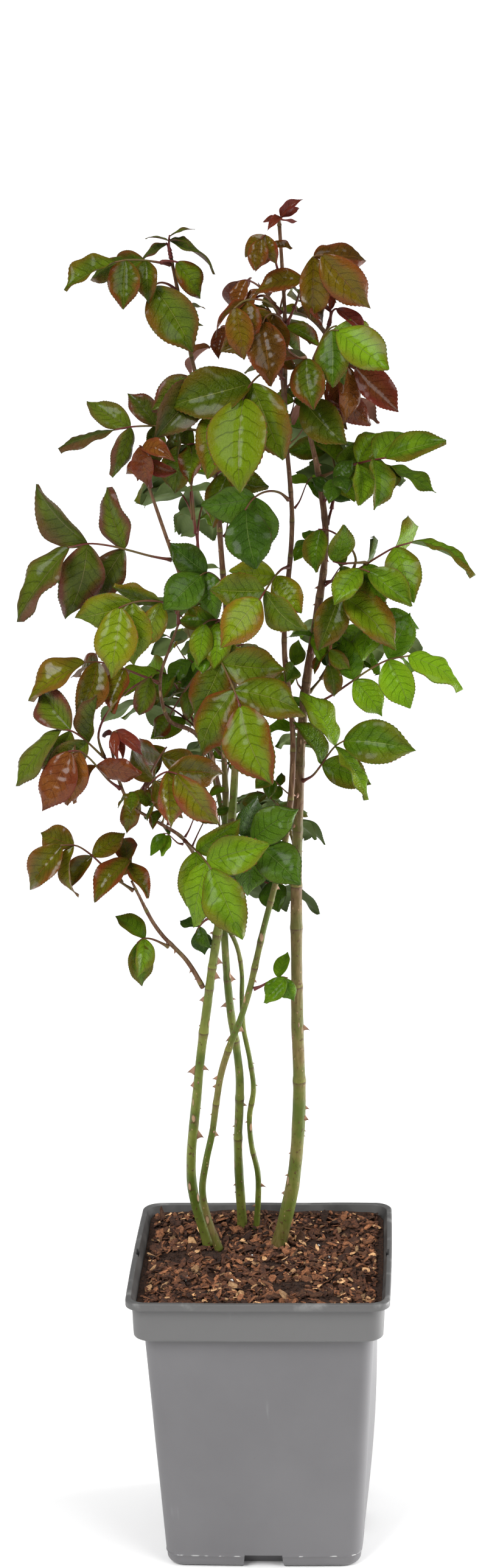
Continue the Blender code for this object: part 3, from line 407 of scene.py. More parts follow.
def leafPlan(start, way, tip, row):
    # the stalk of one compound leaf, and its blades as (root, direction, length, face)
    endWay = towards(*row["end"])
    stalkEnd = tip - endWay * row["blade"]
    span = np.linalg.norm(stalkEnd - start)
    lift = np.array((0, 0, row["arch"] * span))
    arrive = unit(unit(stalkEnd - start) + 0.6 * endWay)
    stalk = bezier(start, start + way * 0.3 * span + lift,
                   stalkEnd - arrive * 0.3 * span + lift / 2, stalkEnd, growth["stalkPoints"])
    sunk = stalkEnd - unit(stalk[-1] - stalk[-2]) * 0.0015
    blades = [(sunk, endWay, row["blade"], faceDirection(stalkEnd, row["endFaces"]))]
    angle = math.radians(growth["pairAngle"])
    for share, size in zip(growth["pairPlaces"][row["pairs"]], growth["pairSizes"]):
        root, along = pointAt(stalk, share)
        face = faceDirection(root, row["faces"])
        sideways = unit(np.cross(along, face))
        for sign in (1, -1):
            direction = along * math.cos(angle) + sign * sideways * math.sin(angle)
            direction = unit(direction + np.array((0, 0, -row["droop"])))
            blades.append((root, direction, row["blade"] * size, face))
    return stalk, blades


def coarseBlade(root, direction, length, face, first=0.0, room=0.0):
    # the keeled blade that the solids have, from a narrow root to a point
    direction = unit(direction)
    normal = unit(across(face, direction))
    side = np.cross(normal, direction)
    rim = growth["bladeRoot"] + room
    stations = [(first, growth["bladeWidths"][0] * first * 2),
                *zip(growth["bladeStations"], growth["bladeWidths"])]
    rows = []
    for station, width in stations:
        middle = (root + direction * length * station
                  - normal * length * growth["bladeCurl"] * station**2)
        half = width * length + rim
        keel = growth["bladeKeel"] * length * min(1, width * 5) + rim
        rows += [middle + side * half + normal * room, middle - side * half + normal * room,
                 middle - normal * keel]
    rows.append(root + direction * (length + room) - normal * length * growth["bladeCurl"])
    return np.array(rows), ringFaces(len(stations), 3, pointed=True)


def searchTree(solid):
    # for quick tests of where two meshes cross
    return solid and BVHTree.FromPolygons(solid[0].tolist(), solid[1])


class Room:
    # What has grown already: a new piece fits if its mesh crosses none of it. Pieces of the same
    # owner may touch at their roots, so there only the outer parts are compared.

    def __init__(self):
        self.trees = []

    def add(self, solid, owner=None, outer=None):
        self.trees.append((owner, searchTree(solid), searchTree(outer)))

    def fits(self, solid, owner=None, outer=None):
        tree, outerTree = searchTree(solid), searchTree(outer)
        for name, other, otherOuter in self.trees:
            if name is None or name != owner:
                if tree.overlap(other):
                    return False
            elif outerTree and outerTree.overlap(otherOuter or other):
                return False
        return True


def grownLeaf(row, number, dice):
    # a leaf dealt round the first one of a spray: left and right of it by turns
    side = (-1) ** number * ((number + 1) // 2) * growth["fan"]
    turn = row["turn"] + side + dice.uniform(-10, 10)
    rise = row["rise"] + dice.uniform(-22, 22)
    end = (row["end"][0] + side, row["end"][1] + dice.uniform(-15, 10))
    size = dice.uniform(0.82, 1.0)
    reach = row["reach"] * dice.uniform(0.62, 0.80)
    return dict(row, turn=turn, rise=rise, end=end, blade=row["blade"] * size, reach=reach)


def planSprays(limbs, room, table):
    # the stalks of every spray first, then the blades that find room, spray by spray
    plans = {}
    for name, row in table.items():
        dice = random.Random(name)
        rows = list(row["leaves"])
        rows += [grownLeaf(rows[0], number, dice) for number in range(1, row["grown"] + 1)]
        limb, at = limbs[row["limb"]], row["at"]
        origin = pointOn(limb, at)[0]
        leaves = []
        for number, shape in enumerate(rows):
            if number:
                start, way = pointAt(leaves[0][0], 0.15 * number)
            else:
                tip = origin + towards(shape["turn"], shape["rise"]) * shape["reach"]
                stalkEnd = tip - towards(*shape["end"]) * shape["blade"]
                start = seat(limb, at, stalkEnd, growth["stalkRadius"])
                way = leaving(limb, at, stalkEnd)
            base = start if number else origin
            tip = base + towards(shape["turn"], shape["rise"]) * shape["reach"]
            stalk, blades = leafPlan(start, way, tip, shape)
            if number == 0:
                stalk[0] = seat(limb, at, stalk[1], growth["stalkRadius"])
            radii = np.linspace(growth["stalkRadius"], growth["stalkTipRadius"], len(stalk))
            roomRound = growth["clearance"] * np.minimum(1, np.arange(len(stalk)))
            if room.fits(coarseTube(stalk, radii + roomRound, growth["twigSides"]), name):
                room.add(coarseTube(stalk, radii, growth["twigSides"]), name)
                leaves.append((stalk, radii, blades))
            elif number == 0:
                break
        plans[name] = (leaves, dice)
    return {name: [(stalk, radii, fittedBlades(room, name, blades, dice))
                   for stalk, radii, blades in leaves]
            for name, (leaves, dice) in plans.items()}


def fittedBlades(room, owner, blades, dice):
    # the blades that find room, each lifted or lowered a little where it must be
    fitted = []
    for number, (root, direction, length, face) in enumerate(blades):
        direction = direction + np.array([dice.uniform(-0.08, 0.08) for axis in range(3)])
        roll = dice.gauss(0, growth["rolls"][min(number, 1)])
        side = np.cross(unit(direction), face)
        face = unit(face * math.cos(roll) + side * math.sin(roll))
        for lift in (0, 0.25, -0.25, 0.5, -0.5, 0.8):
            tried = unit(unit(direction) + face * lift)
            roomy = coarseBlade(root, tried, length, face, room=growth["clearance"])
            outer = coarseBlade(root, tried, length, face, first=growth["bladeFree"])
            if room.fits(roomy, owner, outer):
                room.add(coarseBlade(root, tried, length, face), owner, outer)
                fitted.append((root, tried, length, face, number))
                break
    return fitted


def bladesOf(plan, names=None):
    return [blade for name in (plan if names is None else names)
            for stalk, radii, blades in plan[name] for blade in blades]


limbs = growLimbs()
room = Room()
for limb in limbs.values():
    room.add(limb["solid"])
grown = planSprays(limbs, room, sprays)
print("grown", len(grown), "sprays with", len(bladesOf(grown)), "blades")

# Small young leaves in the axils between the sprays, finer than the solids and within their reach:
# where along each limb they stand, their sizes in metres and their tints low and high up.
youngForm = {
    "count": 48, "reach": (0.030, 0.058), "blade": (0.018, 0.030), "rise": (0, 50), "stalk": 0.6,
    "along": {"cane_left": (0.44, 0.93), "cane_middle": (0.44, 0.95), "cane_back": (0.54, 0.92),
              "cane_thin": (0.74, 0.92), "cane_main": (0.50, 0.93), "shoot_back": (0.2, 0.9)},
    "low": ("bright", "green", "bright", "dark", "flushed"), "high": ("bronze", "flushed", "olive"),
    "highAbove": 0.92,
}


def dealYoung():
    # one young leaf after another, each on a limb, at a place and with a way dealt by seed
    dice = random.Random("young leaves")
    table = {}
    for number in range(youngForm["count"]):
        limb = dice.choice(list(youngForm["along"]))
        at = dice.uniform(*youngForm["along"][limb])
        turn, rise = dice.uniform(0, 360), dice.uniform(*youngForm["rise"])
        blade, reach = dice.uniform(*youngForm["blade"]), dice.uniform(*youngForm["reach"])
        endTurn, endRise = turn + dice.uniform(-25, 25), rise - dice.uniform(20, 65)
        leaf = leafRow(turn, rise, reach, endTurn, endRise, blade, dice.choice((1, 2)), 0.4, 0.6)
        high = pointOn(limbs[limb], at)[0][2] > youngForm["highAbove"]
        tint = dice.choice(youngForm["high" if high else "low"])
        table[f"young_{number}"] = sprayRow(limb, at, tint, leaf)
    return table


youngSprays = dealYoung()
young = planSprays(limbs, room, youngSprays)
print("young leaves", len(young), "with", len(bladesOf(young)), "blades")


def ringQuads(rings, sides):
    # quads between the neighbouring rings of a closed tube
    r, s = np.meshgrid(np.arange(rings - 1), np.arange(sides), indexing="ij")
    a = r * sides + s
    b = r * sides + (s + 1) % sides
    return np.stack((a, b, b + sides, a + sides), -1).reshape(-1, 4)


def repeated(faces, copies, stride):
    # the same faces for each of many copies that have `stride` vertices each
    return (faces[None] + np.arange(copies)[:, None, None] * stride).reshape(-1, faces.shape[1])


def addPiece(name, vertices, faceSets, materials, uv=None, values=None, smooth=True):
    # One mesh in place. faceSets holds (faces as an array, material number or one number for each
    # face), and values a number for each vertex that the materials read by its label.
    counts = np.concatenate([np.full(len(f), f.shape[1]) for f, m in faceSets])
    corners = np.concatenate([f.ravel() for f, m in faceSets]).astype(np.int32)
    numbers = np.concatenate([np.broadcast_to(m, len(f)) for f, m in faceSets]).astype(np.int32)
    mesh = bpy.data.meshes.new(name)
    mesh.vertices.add(len(vertices))
    mesh.vertices.foreach_set("co", np.asarray(vertices, np.float32).ravel())
    mesh.loops.add(len(corners))
    mesh.loops.foreach_set("vertex_index", corners)
    mesh.polygons.add(len(counts))
    mesh.polygons.foreach_set("loop_start", np.r_[0, np.cumsum(counts)[:-1]].astype(np.int32))
    for made in materials:
        mesh.materials.append(made)
    mesh.polygons.foreach_set("material_index", numbers)
    mesh.update(calc_edges=True)
    mesh.polygons.foreach_set("use_smooth", np.full(len(counts), smooth))
    if uv is not None:
        layer = mesh.uv_layers.new(name="leafMap")
        layer.data.foreach_set("uv", np.asarray(uv, np.float32)[corners].ravel())
    for label, value in (values or {}).items():
        attribute = mesh.attributes.new(label, "FLOAT", "POINT")
        attribute.data.foreach_set("value", np.asarray(value, np.float32))
    piece = bpy.data.objects.new(name, mesh)
    bpy.context.scene.collection.objects.link(piece)
    return piece


def frames(paths, start):
    # sides and ups along many paths at once, turning as little as they can
    tangents = unit(np.gradient(paths, axis=1))
    sides = np.empty_like(paths)
    side = np.broadcast_to(np.asarray(start, float), tangents[:, 0].shape)
    for step in range(paths.shape[1]):
        side = unit(across(side, tangents[:, step]))
        sides[:, step] = side
    return sides, np.cross(tangents, sides)


def sweep(paths, radii, count, start=(0.9, 0.1, 0.3)):
    # tubes: each point of a path plus its radius times (cos a of the side + sin a of the up)
    sides, ups = frames(paths, start)
    angles = np.arange(count) * 2 * math.pi / count
    ring = (np.cos(angles)[:, None] * sides[:, :, None] + np.sin(angles)[:, None] * ups[:, :, None])
    radii = np.broadcast_to(radii.reshape(*radii.shape[:2], -1), (*paths.shape[:2], count))
    return paths[:, :, None] + radii[..., None] * ring


def tubeFaces(copies, rings, sides):
    # walls and both flat ends of many tubes
    stride = rings * sides
    ends = np.stack((np.arange(sides)[::-1], np.arange(stride - sides, stride)))
    return [(repeated(ringQuads(rings, sides), copies, stride), 0), (repeated(ends, copies, stride), 0)]


def ripple(points, scale, seed, waves=9):
    # a smooth noise from -1 to 1: sines along random ways, the finer ones weaker
    dice = np.random.default_rng(seed)
    ways = unit(dice.normal(size=(waves, 3)))
    sizes = dice.uniform(0.6, 2.2, waves)
    phases = dice.uniform(0, 2 * math.pi, waves)
    waved = np.sin(points @ (ways * sizes[:, None]).T * 2 * math.pi / scale + phases)
    return (waved / sizes).sum(-1) / (1 / sizes).sum() * 1.6


# Short ways to add nodes to one tree and join them.
class Nodes:

    def __init__(self, tree):
        self.tree = tree

    def add(self, kind, inputs=None, **settings):
        made = self.tree.nodes.new(kind)
        for name, value in settings.items():
            setattr(made, name, value)
        for name, value in (inputs or {}).items():
            self.put(made.inputs[name], value)
        return made

    def put(self, socket, value):
        if isinstance(value, bpy.types.NodeSocket):
            self.tree.links.new(value, socket)
        else:
            socket.default_value = (*value, 1) if socket.type == "RGBA" and len(value) == 3 else value

    def calc(self, operation, a, b=0.0, c=0.0, clamp=False):
        return self.add("ShaderNodeMath", {0: a, 1: b, 2: c}, operation=operation,
                        use_clamp=clamp).outputs[0]

    def times(self, a, b):
        return self.calc("MULTIPLY", a, b)

    def fused(self, a, b, c):
        # a times b plus c
        return self.calc("MULTIPLY_ADD", a, b, c)

    def between(self, value, low, high, outLow=0.0, outHigh=1.0):
        # a smooth step from low to high
        made = self.add("ShaderNodeMapRange", {0: value, 1: low, 2: high, 3: outLow, 4: outHigh},
                        interpolation_type="SMOOTHSTEP")
        return made.outputs[0]

    def mix(self, factor, a, b, blend="MIX"):
        return self.add("ShaderNodeMix", {0: factor, 6: a, 7: b}, data_type="RGBA",
                        blend_type=blend).outputs[2]

    def noise(self, place, scale, detail=3.0, roughness=0.55):
        return self.add("ShaderNodeTexNoise", {"Vector": place, "Scale": scale, "Detail": detail,
                                               "Roughness": roughness}).outputs[0]

    def place(self, scale=(1, 1, 1)):
        source = self.add("ShaderNodeTexCoord").outputs["Object"]
        return self.add("ShaderNodeMapping", {"Vector": source, "Scale": scale}).outputs[0]

    def value(self, label):
        return self.add("ShaderNodeAttribute", attribute_name=label).outputs["Fac"]


def newGroup(name, inputs, outputs):
    # an empty node group with named sockets, its builder and its two end nodes
    tree = bpy.data.node_groups.new(name, "ShaderNodeTree")
    for label, kind in inputs.items():
        tree.interface.new_socket(name=label, in_out="INPUT", socket_type="NodeSocket" + kind)
    for label, kind in outputs.items():
        tree.interface.new_socket(name=label, in_out="OUTPUT", socket_type="NodeSocket" + kind)
    n = Nodes(tree)
    return n, n.add("NodeGroupInput").outputs, n.add("NodeGroupOutput").inputs


def newMaterial(name, roughness=0.5, **fixed):
    # a material with its own Principled shader, its builder and the shader's sockets
    made = bpy.data.materials.new(name)
    made.use_nodes = True
    shader = made.node_tree.nodes["Principled BSDF"]
    shader.inputs["Roughness"].default_value = roughness
    for label, value in fixed.items():
        shader.inputs[label.replace("_", " ")].default_value = value
    return made, Nodes(made.node_tree), shader.inputs


def bump(n, height, strength, distance):
    given = {"Height": height, "Strength": strength, "Distance": distance}
    return n.add("ShaderNodeBump", given).outputs[0]


# A leaf's skin, places across it read from 0 at the midrib to 1 at the rim.
skinForm = {
    "veins": 7.0,  # side veins on either side
    "veinRise": 0.24, "veinBend": 1.3,  # how far they run towards the tip, and the power they rise by
    "veinWander": 0.10, "veinWidth": 0.085, "midrib": (0.036, 0.012), "rim": (0.93, 0.995),
    "cells": 30.0, "cellEdge": 0.12,
    "flush": (0.42, 1.15), "flushDrift": 1.3, "flushTip": 0.35,  # where the rim's colour comes in
    "inkNet": 0.12, "inkVein": 0.30, "inkMidrib": 0.65, "inkRim": 0.7,
}


# What a leaf's skin looks like: a network of side veins on either side of the midrib, a rim of its
# own colour that flushes inwards, soft blotches, and a height for the bump. Shared by every tint.
def leafSkinGroup():
    form = skinForm
    n, given, out = newGroup(
        "leafSkin",
        {"Map": "Vector", "Tone": "Float", "Light": "Color", "Deep": "Color", "Vein": "Color",
         "Rim": "Color", "Flush": "Float"},
        {"Colour": "Color", "Roughness": "Float", "Height": "Float"})
    apart = n.add("ShaderNodeSeparateXYZ", {0: given["Map"]}).outputs
    shifted = n.fused(apart[0], 2.0, -1.0)
    outward = n.calc("ABSOLUTE", shifted)
    along = apart[1]
    leafPlace = n.add("ShaderNodeCombineXYZ", {0: n.times(apart[0], 0.7), 1: along,
                                               2: n.times(given["Tone"], 37.0)}).outputs[0]
    wander = form["veinWander"]
    bent = n.fused(n.noise(leafPlace, 7.0, 2.0), wander, -wander / 2)
    rising = n.fused(n.calc("POWER", outward, form["veinBend"]), -form["veinRise"],
                     n.calc("ADD", along, bent))
    phase = n.calc("FRACT", n.times(rising, form["veins"]))
    distance = n.calc("ABSOLUTE", n.calc("SUBTRACT", phase, 0.5))
    sideVein = n.times(n.between(distance, form["veinWidth"], 0.0), n.between(outward, 0.95, 0.5))
    midrib = n.between(outward, *form["midrib"])
    where = n.place()
    cells = n.add("ShaderNodeTexVoronoi", {"Vector": leafPlace, "Scale": form["cells"]},
                  feature="DISTANCE_TO_EDGE").outputs[0]
    net = n.between(cells, form["cellEdge"], 0.0)
    blotch = n.noise(leafPlace, 3.2, 4.0)
    fine = n.noise(where, 900.0, 2.0)
    shade = n.calc("ADD", n.times(blotch, 0.9), n.times(given["Tone"], 0.65))
    tint = n.mix(n.between(shade, 0.38, 1.10), given["Deep"], given["Light"])
    towardsTip = n.fused(along, form["flushTip"], outward)
    drift = n.fused(n.noise(leafPlace, 2.2, 3.0), form["flushDrift"], -0.70)
    spread = n.calc("ADD", towardsTip, drift)
    share = n.calc("FRACT", n.times(given["Tone"], 7.0))
    ripe = n.times(given["Flush"], n.fused(share, 1.3, 0.45))
    flush = n.calc("MULTIPLY", n.between(spread, *form["flush"]), ripe, clamp=True)
    tint = n.mix(flush, tint, given["Rim"])
    tint = n.mix(n.times(net, form["inkNet"]), tint, given["Vein"])
    tint = n.mix(n.times(sideVein, form["inkVein"]), tint, given["Deep"])
    tint = n.mix(n.times(midrib, form["inkMidrib"]), tint, given["Vein"])
    rim = n.times(n.between(outward, *form["rim"]), form["inkRim"])
    tint = n.mix(rim, tint, given["Rim"])
    n.put(out["Colour"], tint)
    n.put(out["Roughness"], n.fused(n.noise(leafPlace, 6.0, 3.0), 0.30, n.fused(fine, 0.08, 0.12)))
    height = n.fused(sideVein, -1.0, n.times(cells, 1.1))
    height = n.fused(midrib, -1.0, height)
    n.put(out["Height"], n.fused(n.noise(leafPlace, 14.0, 3.0), 0.4, height))
    return n.tree


leafSkin = leafSkinGroup()

# Plain colours of each tint, its rim and its underside, how far the rim's colour flushes inwards, and the
# shape of its leaves: half width and fold as shares of the length, height of the swelling between veins,
# and the tip's curl. Each also holds a slot name, which nothing here reads.
tints = {
    "green": dict(slot="green", light=(0.150, 0.268, 0.005), deep=(0.042, 0.092, 0.002),
                  vein=(0.190, 0.270, 0.045), rim=(0.120, 0.040, 0.005), under=(0.090, 0.125, 0.040),
                  flush=0.40, width=0.315, fold=0.34, pucker=0.018, curl=0.06, gloss=0.16),
    "bright": dict(slot="lime", light=(0.158, 0.305, 0.005), deep=(0.054, 0.140, 0.002),
                   vein=(0.210, 0.310, 0.045), rim=(0.130, 0.080, 0.006), under=(0.100, 0.135, 0.040),
                   flush=0.12, width=0.330, fold=0.28, pucker=0.018, curl=0.06, gloss=0.16),
    "flushed": dict(slot="green", light=(0.122, 0.188, 0.003), deep=(0.042, 0.064, 0.001),
                    vein=(0.190, 0.210, 0.040), rim=(0.135, 0.032, 0.004), under=(0.110, 0.105, 0.045),
                    flush=0.72, width=0.310, fold=0.34, pucker=0.021, curl=0.08, gloss=0.20),
    "dark": dict(slot="dark", light=(0.076, 0.162, 0.008), deep=(0.022, 0.056, 0.003),
                 vein=(0.115, 0.175, 0.040), rim=(0.055, 0.036, 0.006), under=(0.070, 0.098, 0.036),
                 flush=0.12, width=0.345, fold=0.24, pucker=0.018, curl=0.05, gloss=0.18),
    "plum": dict(slot="dark", light=(0.092, 0.132, 0.005), deep=(0.036, 0.048, 0.003),
                 vein=(0.150, 0.140, 0.045), rim=(0.110, 0.030, 0.018), under=(0.130, 0.085, 0.060),
                 flush=0.66, width=0.290, fold=0.44, pucker=0.018, curl=0.10, gloss=0.22),
    "lime": dict(slot="lime", light=(0.160, 0.225, 0.003), deep=(0.066, 0.110, 0.002),
                 vein=(0.245, 0.270, 0.050), rim=(0.190, 0.055, 0.006), under=(0.165, 0.150, 0.065),
                 flush=0.52, width=0.320, fold=0.30, pucker=0.024, curl=0.08, gloss=0.24),
    "olive": dict(slot="bronze", light=(0.142, 0.142, 0.002), deep=(0.060, 0.054, 0.001),
                  vein=(0.210, 0.095, 0.020), rim=(0.170, 0.034, 0.007), under=(0.175, 0.110, 0.070),
                  flush=0.66, width=0.290, fold=0.42, pucker=0.026, curl=0.12, gloss=0.38),
    "bronze": dict(slot="bronze", light=(0.120, 0.082, 0.001), deep=(0.058, 0.024, 0.001),
                   vein=(0.210, 0.095, 0.020), rim=(0.170, 0.026, 0.007), under=(0.175, 0.110, 0.070),
                   flush=0.62, width=0.290, fold=0.42, pucker=0.026, curl=0.12, gloss=0.30),
    "copper": dict(slot="bronze", light=(0.215, 0.080, 0.008), deep=(0.110, 0.024, 0.007),
                   vein=(0.250, 0.090, 0.022), rim=(0.130, 0.014, 0.009), under=(0.195, 0.090, 0.065),
                   flush=0.50, width=0.280, fold=0.44, pucker=0.028, curl=0.14, gloss=0.42),
    "red": dict(slot="red", light=(0.200, 0.040, 0.016), deep=(0.105, 0.016, 0.012),
                vein=(0.200, 0.050, 0.024), rim=(0.125, 0.014, 0.010), under=(0.180, 0.056, 0.048),
                flush=0.50, width=0.200, fold=0.60, pucker=0.012, curl=0.12, gloss=0.30),
}


# The grid of every leaf: rows from root to tip, places across its upper and its lower side.
leafGrid = {
    "rows": 43,
    "upper": (-1, -0.97, -0.64, -0.3, 0, 0.3, 0.64, 0.97, 1),
    "lower": (0.97, 0.64, 0.3, 0, -0.3, -0.64, -0.97),
    "thickness": 0.0060,  # this and the next are shares of the length
    "teeth": 0.0075,
}
# How far single leaves of one tint differ, each between two bounds: factors of the width, curl,
# tip curl and fold, and the cupping, side bend, twist, height and number of waves of the edge.
leafDiffers = {
    "width": (0.92, 1.08), "curl": (0.5, 2.0), "tipCurl": (-0.8, 2.4), "bend": (-0.05, 0.05),
    "fold": (0.3, 2.2), "cup": (0, 0.45), "wave": (0.008, 0.042), "waves": (1.4, 2.6),
    "phase": (0, 1), "twist": (-0.65, 0.65),
}
leafUpper = len(leafGrid["upper"])
leafSides = leafUpper + len(leafGrid["lower"])
leafStride = (leafGrid["rows"] - 1) * leafSides + 1  # vertices of one leaf


def leafMaterials(tint):
    # the upper skin, the thin rim and the paler lower skin of one tint
    row = tints[tint]
    upper, n, shader = newMaterial("leaf" + tint.capitalize(), Coat_Weight=row["gloss"],
                                   Coat_Roughness=0.18, Specular_IOR_Level=0.05)
    skin = n.add("ShaderNodeGroup", node_tree=leafSkin)
    given = {"Map": n.add("ShaderNodeUVMap", uv_map="leafMap").outputs[0], "Tone": n.value("tone"),
             "Light": row["light"], "Deep": row["deep"], "Vein": row["vein"], "Rim": row["rim"],
             "Flush": row["flush"]}
    for label, value in given.items():
        n.put(skin.inputs[label], value)
    n.put(shader["Base Color"], skin.outputs["Colour"])
    n.put(shader["Roughness"], skin.outputs["Roughness"])
    n.put(shader["Normal"], bump(n, skin.outputs["Height"], 0.75, 0.0011))

    rim, n, shader = newMaterial("leafRim" + tint.capitalize(), 0.6, Specular_IOR_Level=0.2)
    grain = n.noise(n.place(), 500.0)
    mixed = n.mix(n.between(grain, 0.3, 0.6), row["rim"], row["deep"])
    n.put(shader["Base Color"], mixed)

    lower, n, shader = newMaterial("leafUnder" + tint.capitalize(), 0.62, Specular_IOR_Level=0.08)
    grain = n.noise(n.place(), 260.0, 4.0)
    paler = tuple(min(1, 1.35 * c) for c in row["under"])
    n.put(shader["Base Color"], n.mix(grain, row["under"], paler))
    n.put(shader["Normal"], bump(n, grain, 0.3, 0.0004))
    return [upper, rim, lower]


def leafHalfWidth(v):
    # oval with a drawn-out tip: a sine of a power of the way along, thinned towards the tip
    body = np.sin(math.pi * v**0.92) ** 0.76
    tip = np.clip((v - 0.70) / 0.28, 0, 1)
    return np.maximum(body * (1 - 0.36 * tip * tip * (3 - 2 * tip)), 0.012)


def leafSheets(blades, row, seed):
    # Each leaf is a grid of rows v and places u across. A point is the midrib's place at v, moved
    # sideways by u times the half width, and up by the fold, the waves of the edge and the
    # swelling between side veins. The rim rows stand out by turns as teeth.
    dice = np.random.default_rng(seed)
    root, way, face = (np.array([blade[k] for blade in blades]) for k in (0, 1, 3))
    length = np.array([blade[2] for blade in blades])[:, None, None]
    count, rows = len(blades), leafGrid["rows"]
    way = unit(way)
    normal = unit(across(face, way))
    side = np.cross(normal, way)

    def pick(trait):
        return dice.uniform(*leafDiffers[trait], (count, 1, 1))

    v = np.linspace(0, 1, rows)[None, :, None]
    upper = np.array(leafGrid["upper"])[None, None]
    lower = np.array(leafGrid["lower"])[None, None]
    u = np.concatenate((upper, lower), -1)
    below = np.concatenate((0 * upper, 1 - 0.3 * np.abs(lower)), -1)
    atRim = np.abs(u) == 1
    odd = (np.arange(rows) % 2)[None, :, None] * np.clip(v * 8 - 0.7, 0, 1) * np.clip((1 - v) * 9, 0.2, 1)
    half = leafHalfWidth(v) * row["width"] * pick("width")
    teeth = leafGrid["teeth"] * odd * atRim
    x = np.sign(u) * (np.abs(u) * half + teeth)
    vHere = v + 0.45 / rows * odd * atRim
    curl = growth["bladeCurl"] * pick("curl")
    tipCurl = row["curl"] * pick("tipCurl")
    bend = pick("bend")
    rising = vHere - skinForm["veinRise"] * np.abs(u) ** skinForm["veinBend"]
    phase = skinForm["veins"] * rising + 0.5
    swelling = np.sin(math.pi * phase) ** 2 * (1 - np.abs(u) ** 3) * np.abs(u) ** 0.4
    swelling = swelling * np.clip(4 * v, 0, 1) * np.clip(5 * (1 - v), 0, 1)
    fold = row["fold"] * pick("fold")
    cup = pick("cup") * row["width"]
    waves = pick("wave") * np.sin(2 * math.pi * (pick("waves") * v + pick("phase") + 0.31 * np.sign(u)))
    z = (fold * half * np.abs(u) ** 1.2 - cup * u**4 * np.clip(3 * v, 0, 1)
         + waves * u**2 * np.clip(4 * v, 0, 1) + row["pucker"] * swelling)
    z = z - leafGrid["thickness"] * below - 0.006 * (np.abs(u) < 0.1) * (1 - v) * (below > 0)
    turn = pick("twist") * (v - 0.3)
    middle = (root[:, None] + way[:, None] * (length * (vHere[:, :, 4:5]))
              - normal[:, None] * (length * (curl * v**2 + tipCurl * v**5))
              + side[:, None] * (length * bend * np.sin(math.pi * v)))
    slope = 2 * curl * v + 5 * tipCurl * v**4
    tangent = unit(way[:, None] - normal[:, None] * slope)
    sideHere = np.broadcast_to(side[:, None], tangent.shape)
    up = np.cross(tangent, sideHere)
    turned = sideHere * np.cos(turn) + up * np.sin(turn)
    up = up * np.cos(turn) - sideHere * np.sin(turn)
    step = (vHere - v) * length
    points = (middle[:, :, None] + turned[:, :, None] * (x * length)[..., None]
              + up[:, :, None] * (z * length)[..., None] + tangent[:, :, None] * step[..., None])
    vertices = np.concatenate((points[:, :-1].reshape(count, -1, 3), middle[:, -1:]), 1)
    uv = np.stack(np.broadcast_arrays((u + 1) / 2, v), -1)[:, :-1].reshape(1, -1, 2)
    uv = np.concatenate((np.repeat(uv, count, 0), np.full((count, 1, 2), (0.5, 1.0))), 1)
    tone = np.repeat(dice.uniform(0, 1, count), vertices.shape[1])
    return vertices.reshape(-1, 3), uv.reshape(-1, 2), tone


def leafFaces(count):
    # quads along both skins, triangles to the tip and a cap at the root, with the material numbers
    # of the upper skin, the rim strips and the lower skin
    rows, stride = leafGrid["rows"], leafStride
    walls = ringQuads(rows - 1, leafSides)[:, ::-1]
    beneath = np.arange(len(walls)) % leafSides >= leafUpper - 1
    walls[beneath] = np.roll(walls[beneath], -1, axis=1)  # both skins are split along one diagonal
    last = (rows - 2) * leafSides
    around = np.arange(leafSides)
    tips = np.stack((last + (around + 1) % leafSides, last + around, np.full(leafSides, stride - 1)), -1)
    numbers = np.where(around < leafUpper - 1, 0, 2)
    numbers[[0, leafUpper - 2, leafUpper - 1, leafSides - 1]] = 1
    return [(repeated(walls, count, stride), np.tile(np.tile(numbers, rows - 2), count)),
            (repeated(tips, count, stride), np.tile(numbers, count)),
            (repeated(around[None], count, stride), 2)]


def sharpenRims(piece):
    # the two edges where the upper and the lower skin of a leaf meet stay sharp
    mesh = piece.data
    pairs = np.empty(len(mesh.edges) * 2, np.int32)
    mesh.edges.foreach_get("vertices", pairs)
    pairs = np.sort(pairs.reshape(-1, 2), axis=1)
    place = pairs[:, 0] % leafStride % leafSides
    sharp = (pairs[:, 1] - pairs[:, 0] == leafSides) & ((place == 0) | (place == leafUpper - 1))
    attribute = mesh.attributes.new("sharp_edge", "BOOLEAN", "EDGE")
    attribute.data.foreach_set("value", sharp)


def buildLeaves():
    # one piece for each tint, with the grown blades and the young ones
    for number, (tint, row) in enumerate(tints.items()):
        nodes = [name for name in grown if sprays[name]["tint"] == tint]
        blades = bladesOf(grown, nodes)
        blades += bladesOf(young, [name for name in young if youngSprays[name]["tint"] == tint])
        vertices, uv, tone = leafSheets(blades, row, 40 + number)
        piece = addPiece("leaves" + tint.capitalize(), vertices, leafFaces(len(blades)),
                         leafMaterials(tint), uv, {"tone": tone})
        sharpenRims(piece)
        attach(piece, "root")
        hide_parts(*nodes)
        print("leaves", tint, len(blades), "blades", len(piece.data.polygons), "faces")


buildLeaves()

# Stalks of the compound leaves, wine red, with a swollen foot.
stalkForm = {"points": 22, "sides": 7, "swelling": 0.9, "swellingLength": 0.004}


def stalkMaterial():
    # wine red with green patches
    made, n, shader = newMaterial("leafStalk", 0.42, Specular_IOR_Level=0.25)
    where = n.place()
    patches = n.between(n.noise(where, 35.0), 0.40, 0.68)
    n.put(shader["Base Color"], n.mix(patches, (0.120, 0.026, 0.022), (0.130, 0.100, 0.028)))
    n.put(shader["Normal"], bump(n, n.noise(where, 900.0), 0.25, 0.0003))
    return made


